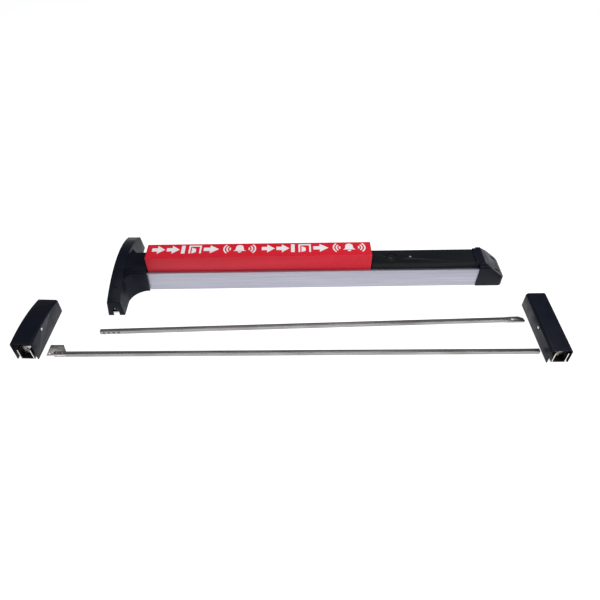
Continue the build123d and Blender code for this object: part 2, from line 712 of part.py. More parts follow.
def drive_bar():
    """The flat bar in the rail, slotted for the cranks, with a flat fork at the head rocker."""
    half = BAR_THICKNESS / 2
    strip_end = CRANK_PLACES[-1] + BAR_TAIL
    bar = box((RAIL_START, strip_end), (-half, half), (BAR_LOW, BAR_HIGH))
    for crank_x in CRANK_PLACES:
        pin_x_rest, pin_z = drive_pin_place(crank_x)
        width = 2 * (DRIVE_PIN_RADIUS + SLIDE_GAP)
        slot = link((pin_x_rest, CRANK_Z - DRIVE_ARM), (pin_x_rest, pin_z), width)
        bar -= across_y(slot, (-half - 1, half + 1))
    drive_x, drive_y = rocker_pin_place(270)
    far_y = -ROCKER_ARM
    wide = ROCKER_PIN_RADIUS + SLIDE_GAP
    level = (TAB_LOW, TAB_LOW + TAB_THICKNESS)
    root_end = RAIL_START + FORK_ROOT
    tab = box((drive_x - wide - FORK_MARGIN, root_end), (far_y - wide - FORK_MARGIN, FORK_INNER_Y), level)
    tab += box((RAIL_START, root_end), (FORK_WIDE_Y, half), level)
    slot = link((drive_x, far_y), (drive_x, drive_y), 2 * wide)
    tab -= upwards(slot, (TAB_LOW - 1, TAB_LOW + TAB_THICKNESS + 1))
    return bar + tab


# ================================================================ head
def head_arch(inset):
    """The tall face in (y, z) under the head's arched back."""
    low = HEAD_LOW + inset
    high = HEAD_HIGH - inset
    disc = Pos(ARCH_Y, HEAD_PEAK - ARCH_RADIUS) * Circle(ARCH_RADIUS - inset)
    slab = Pos((low + high) / 2, HEAD_PEAK / 2) * Rectangle(high - low, HEAD_PEAK)
    arch = disc & slab
    corners = arch.vertices().sort_by(Axis.Y)[-2:]
    return fillet(corners, HEAD_END_RADIUS - inset)


def head_volume(inset):
    """The head's outer body, or with an inset the hollow inside it."""
    reach = (-SPINE_WIDTH, COLLAR_END)
    spine_face = Rectangle(SPINE_WIDTH - 2 * inset, HEAD_HIGH - HEAD_LOW - 2 * inset)
    spine = extrude(Pos(0, (HEAD_LOW + HEAD_HIGH) / 2) * spine_face, amount=HEAD_PEAK, taper=SPINE_DRAFT)
    spine = spine & along_x(head_arch(inset), reach)
    wing_y = COLLAR_HALF_WIDTH + WING_RADIUS
    wing = box((0, COLLAR_END), (0, wing_y - inset), (0, STEP_FOOT - inset))
    sweep_circle = Pos(COLLAR_END, wing_y) * Circle(WING_RADIUS + inset)
    wing -= extrude(sweep_circle, amount=HEAD_PEAK, taper=-WING_DRAFT)
    face = stepped_face(COLLAR_HALF_WIDTH, COLLAR_TOP, COLLAR_TREAD, COLLAR_STEPS, inset)
    return spine + both_sides(wing) + along_x(face, (0, COLLAR_END))


def stepped_face(half_width, top, tread, count, inset):
    """A face in (y, z) whose sides come in by equal steps above the rail's lips."""
    face = Pos(0, (STEP_FOOT - inset) / 2) * Rectangle(2 * (half_width - inset), STEP_FOOT - inset)
    riser = (top - STEP_FOOT) / count
    for step in range(1, count + 1):
        high = STEP_FOOT + step * riser - inset
        face += Pos(0, high / 2) * Rectangle(2 * (half_width - step * tread - inset), high)
    return face


def head_cover():
    """The black moulded T-shaped cover with a rod slot in each end."""
    cover = head_volume(0)
    cover -= head_volume(MOULD)
    inner_half = COLLAR_HALF_WIDTH - MOULD
    mouth_x = (COLLAR_END - MOULD - 1, COLLAR_END + 1)
    cover -= box(mouth_x, (-inner_half, inner_half), (-1, RAIL_HEIGHT + FIT_GAP))
    front_half = MOUTH_HALF - FIT_GAP
    front_z = (BAR_HIGH + BAR_CLEARANCE, COLLAR_TOP - MOULD)
    cover += box((COLLAR_END - MOULD, COLLAR_END), (-front_half, front_half), front_z)
    slot_half = ROD_SLOT_WIDTH / 2
    arch_z = ROD_SLOT_HEIGHT - slot_half
    slot_span = (2 * HEAD_LOW, 2 * HEAD_HIGH)
    cover -= box((-slot_half, slot_half), slot_span, (-1, arch_z))
    cover -= pin_y(slot_half, 0, arch_z, slot_span)
    for y in (-COVER_SCREW_Y, COVER_SCREW_Y):
        cover -= pin_x(SMALL_SCREW_RADIUS + FIT_GAP, y, COVER_SCREW_Z, (-SPINE_WIDTH, 0))
        cover -= pin_x(SMALL_HEAD_RADIUS + FIT_GAP, y, COVER_SCREW_Z, (-SPINE_WIDTH, cover_screw_seat()))
    return cover


def cover_screw_seat():
    """The spot face of the head cover's side screws."""
    return SPOT_FACE_DEPTH - SPINE_WIDTH / 2


def head_cover_screws():
    """Two side screws through the head cover into the chassis tabs."""
    screws = []
    for y in (-COVER_SCREW_Y, COVER_SCREW_Y):
        screw = pan_screw(SMALL_SCREW_RADIUS, SMALL_HEAD_RADIUS, COVER_SCREW_LENGTH)
        screws.append(Pos(cover_screw_seat(), y, COVER_SCREW_Z) * Rot(0, -90, 0) * screw)
    return group(*screws)


def head_chassis():
    """The steel back plate of the head, with screw tabs and the four mounting holes."""
    narrow = (-CHASSIS_HALF_WIDTH, CHASSIS_HALF_WIDTH)
    plate = box(narrow, (-CHASSIS_HALF_LENGTH, CHASSIS_HALF_LENGTH), (0, PLATE))
    plate += box((0, CHASSIS_END), (-CHASSIS_WIDE_Y, CHASSIS_WIDE_Y), (0, PLATE))
    for side in (-1, 1):
        tab_y = (side * COVER_SCREW_Y - HOLD_TAB_HALF, side * COVER_SCREW_Y + HOLD_TAB_HALF)
        tab_x = (-CHASSIS_HALF_WIDTH, -CHASSIS_HALF_WIDTH + SHEET)
        plate += box(tab_x, tab_y, (0, COVER_SCREW_Z + HOLD_TAB_RISE))
        plate -= pin_x(SMALL_SCREW_RADIUS, side * COVER_SCREW_Y, COVER_SCREW_Z, (-SPINE_WIDTH, 0))
        for x in (-HEAD_HOLE_X, HEAD_HOLE_X):
            plate -= post(MOUNT_HOLE_RADIUS, x, side * HEAD_HOLE_Y, (-1, PLATE + 1))
    return plate - screw_holes()


def rocker_post():
    """The shouldered post that the rocker turns on, with its retaining head."""
    top = ROCKER_LOW + ROCKER_THICKNESS
    pivot = post(ROCKER_POST_RADIUS + POST_FOOT, ROCKER_X, 0, (PLATE, ROCKER_LOW - FIT_GAP))
    pivot += post(ROCKER_POST_RADIUS, ROCKER_X, 0, (PLATE, top + FIT_GAP))
    return pivot + post(ROCKER_POST_RADIUS + POST_HEAD, ROCKER_X, 0, (top + FIT_GAP, top + POST_HEAD_TOP))


def head_rocker():
    """The three-armed rocker that turns the drive bar's pull into up and down strokes."""
    centre = (ROCKER_X, 0)
    face = Pos(*centre) * Circle(ROCKER_EYE_RADIUS)
    width = 2 * ROCKER_PIN_RADIUS + ROCKER_ARM_MARGIN
    pins = [rocker_pin_place(angle) for angle in (0, 180, 270)]
    for pin in pins:
        face += link(centre, pin, width)
    face -= Pos(*centre) * Circle(ROCKER_POST_RADIUS + RUNNING)
    for pin in pins:
        face -= Pos(*pin) * Circle(ROCKER_PIN_RADIUS)
    return upwards(face, (ROCKER_LOW, ROCKER_LOW + ROCKER_THICKNESS))


def head_rocker_pins():
    """Two pins up to the lifters and one down to the drive bar."""
    top = ROCKER_LOW + ROCKER_THICKNESS
    tip = LIFTER_LOW + LIFTER_THICKNESS + ROCKER_PIN_PROUD
    pins = [post(ROCKER_PIN_RADIUS, *rocker_pin_place(angle), (ROCKER_LOW, tip)) for angle in (0, 180)]
    pins.append(post(ROCKER_PIN_RADIUS, *rocker_pin_place(270), (TAB_LOW - FIT_GAP, top)))
    return group(*pins)


def rod_lifter(angle, side):
    """A flat lifter from its rocker pin out to a square socket block for the rod's end."""
    x_rest, y_rest = rocker_pin_place(angle)
    outward = 1 if angle == 0 else -1
    x_far = ROCKER_X + outward * ROCKER_ARM
    reach = ROCKER_PIN_RADIUS + SLIDE_GAP
    far_margin, near_margin, inner_margin = LIFTER_MARGINS
    arm_x = sorted((x_far + outward * (reach + far_margin), x_rest - outward * (reach + near_margin)))
    arm_inner = y_rest - side * (reach + inner_margin)
    arm_outer = side * (LIFTER_ELBOW + ELBOW_WIDTH)
    level = (LIFTER_LOW, LIFTER_LOW + LIFTER_THICKNESS)
    lifter = box(arm_x, sorted((arm_inner, arm_outer)), level)
    elbow_x = (min(arm_x[0], -LIFTER_HALF_WIDTH), max(arm_x[1], LIFTER_HALF_WIDTH))
    lifter += box(elbow_x, sorted((side * LIFTER_ELBOW, arm_outer)), level)
    strip_end = side * LIFTER_END
    lifter += box((-LIFTER_HALF_WIDTH, LIFTER_HALF_WIDTH), sorted((side * LIFTER_ELBOW, strip_end)), level)
    slot = link((x_far, y_rest), (x_rest, y_rest), 2 * reach)
    lifter -= upwards(slot, (LIFTER_LOW - 1, LIFTER_LOW + LIFTER_THICKNESS + 1))
    half = ROD_SIDE / 2 + SOCKET_GAP
    socket_z = SOCKET_Z
    block_half = half + SOCKET_WALL
    block_y = sorted((side * (LIFTER_END - SOCKET_LENGTH), strip_end))
    block_z = (socket_z - half - SOCKET_WALL + SOCKET_FLOOR_CUT, level[1])
    lifter += box((-block_half, block_half), block_y, block_z)
    hole_y = sorted((side * (LIFTER_END - SOCKET_DEPTH), side * (LIFTER_END + 1)))
    lifter -= box((-half, half), hole_y, (socket_z - half, socket_z + half))
    pin_spot = side * (LIFTER_END - ROD_HOLE_FIRST)
    return lifter - pin_x(ROD_HOLE_RADIUS, pin_spot, socket_z, (-block_half - 1, block_half + 1))


def lifter_guides():
    """Moulded bridges on the chassis that keep the lifters straight."""
    guide = box((-GUIDE_HALF_WIDTH, GUIDE_HALF_WIDTH), GUIDE_Y, (PLATE, GUIDE_HEIGHT))
    window_half = LIFTER_HALF_WIDTH + SLIDE_GAP
    window_z = (LIFTER_LOW - SLIDE_GAP, LIFTER_LOW + LIFTER_THICKNESS + SLIDE_GAP)
    guide -= box((-window_half, window_half), (GUIDE_Y[0] - 1, GUIDE_Y[1] + 1), window_z)
    return group(guide, mirror(guide, about=Plane.XZ))


# ================================================================ alarm end
def alarm_cover():
    """The black cover between pad and end cap, with the cylinder and lamp holes."""
    span = (COVER_START, COVER_END)
    outer_half = PAD_HALF
    cover = box(span, (-outer_half, outer_half), (FLANGE_LOW, COVER_TOP))
    cover = fillet(cover.edges().filter_by(Axis.X).sort_by(Axis.Z)[-2:], COVER_EDGE_RADIUS)
    inner = outer_half - MOULD
    cover -= box((span[0] + MOULD, span[1]), (-inner, inner), (FLANGE_LOW, COVER_TOP - MOULD))
    cover += both_sides(box(span, (inner, FLANGE_HALF), (FLANGE_LOW, FLANGE_TOP)))
    cover -= post(CYLINDER_RADIUS + FIT_GAP, CYLINDER_X, 0, (FLANGE_LOW, COVER_TOP + 1))
    return cover - post(LAMP_RADIUS, LAMP_X, 0, (FLANGE_LOW, COVER_TOP + 1))


def cylinder_housing():
    """The round body of the key cylinder, bored for its plug."""
    body = post(CYLINDER_RADIUS, CYLINDER_X, 0, (CYLINDER_LOW, CYLINDER_TOP))
    body = chamfer(body.edges().sort_by(Axis.Z)[-1], CYLINDER_BEVEL)
    return body - post(PLUG_RADIUS + RUNNING, CYLINDER_X, 0, (CYLINDER_LOW - 1, CYLINDER_TOP + 1))


def cylinder_nut():
    """The ring nut that holds the cylinder under the cover."""
    top = COVER_TOP - MOULD
    face = RegularPolygon(NUT_RADIUS, 8) - Circle(CYLINDER_RADIUS)
    return upwards(Pos(CYLINDER_X, 0) * face, (top - NUT_THICKNESS, top))


def key_plug():
    """The turning plug with its keyway."""
    plug = post(PLUG_RADIUS, CYLINDER_X, 0, (CYLINDER_LOW, CYLINDER_TOP))
    long = (CYLINDER_X + KEYWAY_ENDS[0], CYLINDER_X + KEYWAY_ENDS[1])
    deep = (CYLINDER_TOP - KEYWAY_DEPTH, CYLINDER_TOP + 1)
    return plug - box(long, (-KEYWAY_HALF_WIDTH, KEYWAY_HALF_WIDTH), deep)


def lock_cam():
    """The cam under the plug."""
    face = link((CYLINDER_X, 0), (CYLINDER_X + CAM_REACH, 0), CAM_WIDTH)
    return upwards(face, (CYLINDER_LOW - CAM_THICKNESS, CYLINDER_LOW))


def status_lamp():
    """The lamp with its collar under the cover and two leads to the board."""
    under = COVER_TOP - MOULD
    low = under - LAMP_BODY
    reach, thickness = LAMP_FLANGE
    body = post(LAMP_RADIUS, LAMP_X, 0, (low, COVER_TOP + LAMP_PROUD))
    dome = Pos(LAMP_X, 0, COVER_TOP + LAMP_PROUD - LAMP_RADIUS / 2) * Sphere(LAMP_RADIUS)
    body += dome & post(LAMP_RADIUS, LAMP_X, 0, (under, COVER_TOP + LAMP_RADIUS))
    body += post(LAMP_RADIUS + reach, LAMP_X, 0, (under - thickness, under))
    for x in (LAMP_X - LEAD_OFFSET, LAMP_X + LEAD_OFFSET):
        body += post(LEAD_RADIUS, x, 0, (board_top(), low + 0.1))
    return body


def board_top():
    """Upper face of the circuit board."""
    return FLOOR + SHEET + STANDOFF + BOARD_THICKNESS


def alarm_tray():
    """The moulded tray on the rail floor with stand-offs for the board."""
    span = (COVER_START + TRAY_GAPS[0], COVER_END - TRAY_GAPS[1])
    wide = (-TRAY_HALF_WIDTH, TRAY_HALF_WIDTH)
    tray = box(span, wide, (FLOOR, FLOOR + TRAY_HEIGHT))
    inner = TRAY_HALF_WIDTH - SHEET
    hollow_z = (FLOOR + SHEET, FLOOR + TRAY_HEIGHT)
    tray -= box((span[0] + SHEET, span[1] - TRAY_SHELF), (-inner, inner), hollow_z)
    tray -= box((span[1] - TRAY_SHELF - 1, span[1]), wide, hollow_z)
    for x in board_post_places():
        for side in (-1, 1):
            y = side * (BOARD_HALF_WIDTH - STANDOFF_INSETS[1])
            tray += post(STANDOFF_RADIUS, x, y, (FLOOR + SHEET, board_top() - BOARD_THICKNESS))
    return tray


def board_span():
    """The circuit board's ends."""
    return LAMP_X - BOARD_GAPS[0], COVER_END - BOARD_GAPS[1]


def board_post_places():
    """Stand-offs a little inside the board's ends."""
    return board_span()[0] + STANDOFF_INSETS[0], board_span()[1] - STANDOFF_INSETS[0]


def circuit_board():
    """The alarm's circuit board with a few square components."""
    top = board_top()
    board = box(board_span(), (-BOARD_HALF_WIDTH, BOARD_HALF_WIDTH), (top - BOARD_THICKNESS, top))
    chips = ((LAMP_X + 8, -9.0), (LAMP_X + 14, 8.0), (COVER_END - 17, -11.0))
    half_x, half_y = CHIP_HALF
    for x, y in chips:
        board += box((x - half_x, x + half_x), (y - half_y, y + half_y), (top, top + CHIP_HEIGHT))
    return board


def battery_holder():
    """The open box that the battery is clipped in."""
    length, width, _ = BATTERY
    gap = FIT_GAP + MOULD / 2
    low = board_top()
    outer = box((BATTERY_X - length / 2 - gap, BATTERY_X + length / 2 + gap),
                (-width / 2 - gap, width / 2 + gap), (low, low + HOLDER_HEIGHT))
    hollow = box((BATTERY_X - length / 2 - FIT_GAP, BATTERY_X + length / 2 + FIT_GAP),
                 (-width / 2 - FIT_GAP, width / 2 + FIT_GAP), (low + MOULD / 2, low + HOLDER_HEIGHT + 1))
    return outer - hollow


def battery():
    """The nine-volt battery with its two terminals at one end."""
    length, width, height = BATTERY
    low = board_top() + MOULD / 2
    start = BATTERY_X - length / 2
    body = box((start + TERMINAL_LENGTH, start + length), (-width / 2, width / 2), (low, low + height))
    body = fillet(body.edges().filter_by(Axis.X), BATTERY_EDGE)
    for y in (-TERMINAL_Y, TERMINAL_Y):
        body += pin_x(TERMINAL_RADIUS, y, low + height / 2, (start, start + TERMINAL_LENGTH + 0.5))
    return body


def sounder():
    """The round sounder with its centre hole."""
    low = board_top()
    body = post(SOUNDER_RADIUS, SOUNDER_X, 0, (low, low + SOUNDER_HEIGHT))
    body = fillet(body.edges().sort_by(Axis.Z)[-1], SOUNDER_EDGE)
    radius, depth = SOUNDER_HOLE
    return body - post(radius, SOUNDER_X, 0, (low + SOUNDER_HEIGHT - depth, low + SOUNDER_HEIGHT + 1))


# ================================================================ end cap
def cap_volume(inset, start):
    """The end cap's outer body, or with an inset the hollow inside it."""
    half = RAIL_HALF + FIT_GAP + CAP_WALL
    end = CAP_END - inset
    body = along_x(stepped_face(half, CAP_TOP, CAP_TREAD, CAP_STEPS, inset), (start, end))
    plan = Pos((start + end) / 2, 0) * Rectangle(end - start, 2 * (half - inset))
    plan = fillet(plan.vertices().sort_by(Axis.X)[-2:], CAP_CORNER_RADIUS - inset)
    body = body & upwards(plan, (0, CAP_TOP))
    slope = radians(CAP_SLOPE)
    ridge = CAP_RIDGE - inset * (1 - cos(slope)) / sin(slope)
    top = CAP_TOP - inset
    run = CAP_TOP * cos(slope) / sin(slope)
    wedge = outline((ridge, top), (ridge + run, top - CAP_TOP), (ridge + run, top + 1), (ridge, top + 1))
    return body - across_y(wedge, (-RAIL_WIDTH, RAIL_WIDTH))


def end_cap():
    """The black end cap: a neck over the rail's mouth, stepped sides, a slope and two screw pockets."""
    outer = cap_volume(0, CAP_START)
    cap = outer - cap_volume(CAP_WALL, CAP_START - 1)
    front_z = (RAIL_HEIGHT + FIT_GAP, CAP_TOP)
    cap += box((CAP_START, CAP_START + CAP_WALL), (-RAIL_HALF, RAIL_HALF), front_z) & outer
    neck = box((NECK_START, CAP_START + CAP_WALL), (-NECK_HALF_WIDTH, NECK_HALF_WIDTH), (LIP_UNDER, CAP_TOP))
    inner = NECK_HALF_WIDTH - CAP_WALL
    neck -= box((NECK_START - 1, CAP_START), (-inner, inner), (LIP_UNDER - 1, CAP_TOP - CAP_WALL))
    cap += neck
    half_x = CAP_POCKET_LENGTH / 2
    half_y = CAP_POCKET_WIDTH / 2
    for y in (-CAP_SCREW_Y, CAP_SCREW_Y):
        boss_x = (CAP_SCREW_X - half_x - CAP_WALL, CAP_SCREW_X + half_x + CAP_WALL)
        boss_y = (y - half_y - CAP_WALL, y + half_y + CAP_WALL)
        cap += box(boss_x, boss_y, (CAP_BOSS_Z, CAP_TOP)) & outer
        pocket = Pos(CAP_SCREW_X, y) * SlotOverall(CAP_POCKET_LENGTH, CAP_POCKET_WIDTH)
        cap -= upwards(pocket, (CAP_SEAT, CAP_TOP))
        cap -= post(SCREW_RADIUS, CAP_SCREW_X, y, (0, CAP_SEAT + 1))
    return cap


def end_cap_screws():
    """Two long screws down the pockets."""
    screw = pan_screw(SCREW_RADIUS, CAP_POCKET_WIDTH / 2 - 0.2, CAP_SEAT - PLATE)
    return group(*[Pos(CAP_SCREW_X, side * CAP_SCREW_Y, CAP_SEAT) * screw for side in (-1, 1)])


def end_bracket():
    """The plate under the end cap, with its tongue in the rail and two bosses."""
    half = RAIL_HALF - BRACKET_SIDE_GAP
    end = CAP_END - CAP_WALL - BRACKET_END_GAP
    plate = box((RAIL_END + FIT_GAP, end), (-half, half), (0, PLATE))
    plate = fillet(plate.edges().filter_by(Axis.Z).sort_by(Axis.X)[-2:], CAP_CORNER_RADIUS / 2)
    tongue_half = half - BRACKET_TONGUE_INSET
    tongue = (RAIL_END - BRACKET_TONGUE, RAIL_END + BRACKET_LAP)
    plate += box(tongue, (-tongue_half, tongue_half), (PLATE, SPLICE_TOP))
    for side in (-1, 1):
        plate += post(BOSS_RADIUS, CAP_SCREW_X, side * CAP_SCREW_Y, (PLATE, CAP_BOSS_Z))
        plate -= post(SCREW_RADIUS, CAP_SCREW_X, side * CAP_SCREW_Y, (PLATE, CAP_BOSS_Z + 1))
        plate -= post(MOUNT_HOLE_RADIUS, END_HOLE_X, side * END_HOLE_Y, (-1, SPLICE_TOP + 1))
    return plate - screw_holes()


# ================================================================ rods, each along +X from its left end
def top_rod():
    """The long square rod, slotted at its left end for the flag plate."""
    half = ROD_SIDE / 2
    rod = box((FLAG_ROOT, TOP_ROD_LENGTH), (-half, half), (0, ROD_SIDE))
    slot_z = (ROD_Z - FLAG_THICKNESS / 2, ROD_Z + FLAG_THICKNESS / 2)
    rod -= box((FLAG_ROOT, FLAG_SHOULDER), (-half, half), slot_z)
    return rod - top_rod_rivet_bodies()


def top_rod_rivet_bodies():
    """Rivets through rod and flag plate."""
    spots = (FLAG_ROOT + FLAG_RIVET_INSETS[0], FLAG_SHOULDER - FLAG_RIVET_INSETS[1])
    return group(*[post(RIVET_RADIUS, x, 0, (RIVET_PROUD, ROD_SIDE + RIVET_PROUD)) for x in spots])


def top_rod_flag():
    """The flat plate riveted in the long rod, reaching to one side of it."""
    near = -ROD_SIDE / 2
    far = near + FLAG_WIDTH
    face = outline((0, near), (FLAG_SHOULDER, near), (FLAG_SHOULDER, -near), (FLAG_LENGTH, far), (0, far))
    face -= Pos(*FLAG_HOLE_PLACE) * Circle(FLAG_HOLE_RADIUS)
    flag = upwards(face, (ROD_Z - FLAG_THICKNESS / 2, ROD_Z + FLAG_THICKNESS / 2))
    return flag - top_rod_rivet_bodies()


def bottom_rod():
    """The short square rod with its row of adjusting holes."""
    half = ROD_SIDE / 2
    rod = box((0, BOTTOM_ROD_LENGTH - TONGUE_LENGTH), (-half, half), (0, ROD_SIDE))
    for index in range(ROD_HOLE_COUNT):
        rod -= pin_y(ROD_HOLE_RADIUS, ROD_HOLE_FIRST + index * ROD_HOLE_PITCH, ROD_Z, (-half - 1, half + 1))
    return rod


def bottom_rod_tongue():
    """The forged end of the short rod: square at its root, then a flat tongue with a hole."""
    start = BOTTOM_ROD_LENGTH - TONGUE_LENGTH
    flat_start = start + TONGUE_SHANK
    root = Plane(origin=(start, 0, ROD_Z), x_dir=(0, 1, 0), z_dir=(1, 0, 0)) * Rectangle(ROD_SIDE, ROD_SIDE)
    tip = Plane(origin=(flat_start, 0, ROD_Z), x_dir=(0, 1, 0), z_dir=(1, 0, 0))
    neck = loft([root.face(), (tip * Rectangle(TONGUE_WIDTH, TONGUE_THICKNESS)).face()])
    half = TONGUE_WIDTH / 2
    end = BOTTOM_ROD_LENGTH
    face = outline((flat_start, -half), (end - TONGUE_BEVEL, -half), (end, -half + TONGUE_BEVEL),
                   (end - TONGUE_POINT, TONGUE_POINT_Y), (end - TONGUE_SLANT, half), (flat_start, half))
    face -= Pos(flat_start + TONGUE_HOLE_X, 0) * Circle(TONGUE_HOLE_RADIUS)
    return neck + upwards(face, (ROD_Z - TONGUE_THICKNESS / 2, ROD_Z + TONGUE_THICKNESS / 2))


# ================================================================ latch cases, open end at the origin
def case_body(case, inset):
    """The case's outer body, or with an inset the hollow inside it."""
    half = case["width"] / 2 - inset
    length = case["length"] - inset
    heights = [case[name] - inset for name in ("mouth_height", "middle_height", "far_height")]
    start = -2 * inset
    roof = Spline((start, heights[0]), (length / 2, heights[1]), (length, heights[2]))
    sides = Polyline((length, heights[2]), (length, 0), (start, 0), (start, heights[0]))
    plane = Plane(origin=(-half, 0, 0), x_dir=(0, 1, 0), z_dir=(1, 0, 0))
    body = extrude(plane * make_face(roof + sides), amount=2 * half)
    long_edges = [edge for edge in body.edges() if edge.length > case["length"] / 2 and edge.center().Z > 1]
    return fillet(long_edges, case["roof_radius"] - inset)


def latch_cover(case):
    """The black cover: open at the rod end and at the door, windowed for the bolt."""
    cover = case_body(case, 0)
    far_face = cover.faces().sort_by(Axis.Y)[-1]
    far_edges = [edge for edge in far_face.edges() if edge.center().Z > 0.1]
    cover = fillet(far_edges, CASE_EDGE_RADIUS)
    cover -= case_body(case, CASE_WALL)
    window = BOLT_HALF_WIDTH + BODY_GAP
    channel_x = case["channel_x"]
    far = (case["length"] - CASE_WALL - 1, case["length"] + 1)
    cover -= box((channel_x - window, channel_x + window), far, (-1, BOLT_HIGH + BODY_GAP))
    x = case["screw_side"] * case["width"] / 2
    hole = pin_x(SMALL_SCREW_RADIUS, case["screw_y"], case["screw_z"], sorted((x * 0.8, x * 1.1)))
    return cover - hole


def latch_cover_screw(case):
    """The one side screw of a latch cover."""
    x = case["screw_side"] * case["width"] / 2
    screw = pan_screw(SMALL_SCREW_RADIUS, SMALL_HEAD_RADIUS, CASE_WALL + SHEET)
    return Pos(x, case["screw_y"], case["screw_z"]) * Rot(0, 90 * case["screw_side"], 0) * screw


def channel_limits(case):
    """Outer sides of the chassis channel in x."""
    return case["channel_x"] - CHANNEL_WIDTH / 2, case["channel_x"] + CHANNEL_WIDTH / 2


def latch_hole_places(case):
    """The mounting holes' distances from the open end."""
    return LATCH_HOLE_START, case["length"] - LATCH_HOLE_END


def latch_chassis(case):
    """The folded steel channel with its spring bridge, cover tab and mounting holes."""
    low, high = channel_limits(case)
    length = case["length"] - CASE_WALL - FIT_GAP
    chassis = box((low, high), (CHANNEL_SET_BACK, length), (0, CHANNEL_HEIGHT))
    chassis -= box((low + SHEET, high - SHEET), (0, length + 1), (SHEET, CHANNEL_HEIGHT))
    bridge_y = (LATCH_SPRING_START - SHEET, LATCH_SPRING_START)
    bridge_z = (LATCH_SPRING_Z - BRIDGE_DROP, CHANNEL_HEIGHT - BRIDGE_GAP)
    chassis += box((low + SHEET, high - SHEET), bridge_y, bridge_z)
    side = case["screw_side"]
    wall = side * (case["width"] / 2 - CASE_WALL)
    edge = high if side > 0 else low
    screw_z = case["screw_z"]
    hold_y = (case["screw_y"] - HOLD_HALF_LENGTH, case["screw_y"] + HOLD_HALF_LENGTH)
    hold_z = (CHANNEL_HEIGHT - HOLD_DROP - SHEET, CHANNEL_HEIGHT - HOLD_DROP)
    chassis += box(sorted((edge - side * SHEET, wall)), hold_y, hold_z)
    chassis += box(sorted((wall - side * SHEET, wall)), hold_y, (hold_z[0], screw_z + CASE_HOLD))
    chassis -= pin_x(SMALL_SCREW_RADIUS, case["screw_y"], screw_z, sorted((edge, wall * 1.1)))
    for y in latch_hole_places(case):
        chassis -= post(MOUNT_HOLE_RADIUS, case["channel_x"], y, (-1, SHEET + 1))
    return chassis


def latch_carriage(case):
    """The sliding strip with its end plate for the rod and a lug for the spring."""
    x = case["channel_x"]
    half = CARRIAGE_HALF_WIDTH
    floor = SHEET + BODY_GAP
    plate_half = CHANNEL_WIDTH / 2 - SHEET - BODY_GAP
    start = CARRIAGE_START
    bolt_start = case["length"] + BOLT_THROW - BOLT_LENGTH
    carriage = box((x - half, x + half), (start, bolt_start), (floor, floor + SHEET))
    plate_z = (floor, CHANNEL_HEIGHT - BRIDGE_GAP)
    carriage += box((x - plate_half, x + plate_half), (start, start + SHEET), plate_z)
    lug_y = LATCH_SPRING_START + LATCH_SPRING_LENGTH
    carriage += box((x - half, x + half), (lug_y, lug_y + SHEET), plate_z)
    carriage -= pin_y(ROD_HOLE_RADIUS, x + ROD_EYE_X, ROD_EYE_Z, (start - 1, start + SHEET + 1))
    notch = pin_y(NOTCH_RADIUS, x + plate_half, floor + NOTCH_RISE, (start - 1, start + SHEET + 1))
    return carriage - notch


def latch_bolt(case):
    """The sliding bolt with a slanted nose."""
    x = case["channel_x"]
    tip = case["length"] + BOLT_THROW
    start = tip - BOLT_LENGTH
    plane = Plane(origin=(x - BOLT_HALF_WIDTH, 0, 0), x_dir=(0, 1, 0), z_dir=(1, 0, 0))
    nose = BOLT_THROW - NOSE_FLAT
    face = outline((start, BOLT_LOW), (tip, BOLT_LOW), (tip, BOLT_LOW + NOSE_FACE),
                   (tip - nose, BOLT_HIGH), (start, BOLT_HIGH))
    return extrude(plane * face, amount=2 * BOLT_HALF_WIDTH)


def latch_spring(case):
    """The spring that pushes the carriage out."""
    coil = spring(LATCH_SPRING_RADIUS, LATCH_SPRING_WIRE, SPRING_TURNS, LATCH_SPRING_LENGTH - 0.2)
    return Pos(case["channel_x"], LATCH_SPRING_START + 0.1, LATCH_SPRING_Z) * Rot(-90, 0, 0) * coil


# ================================================================ the whole kit
def laid(place, angle, shape):
    """Lay a loose piece on the floor at its place and angle."""
    return Location((place[0], place[1], 0), (0, 0, angle)) * shape


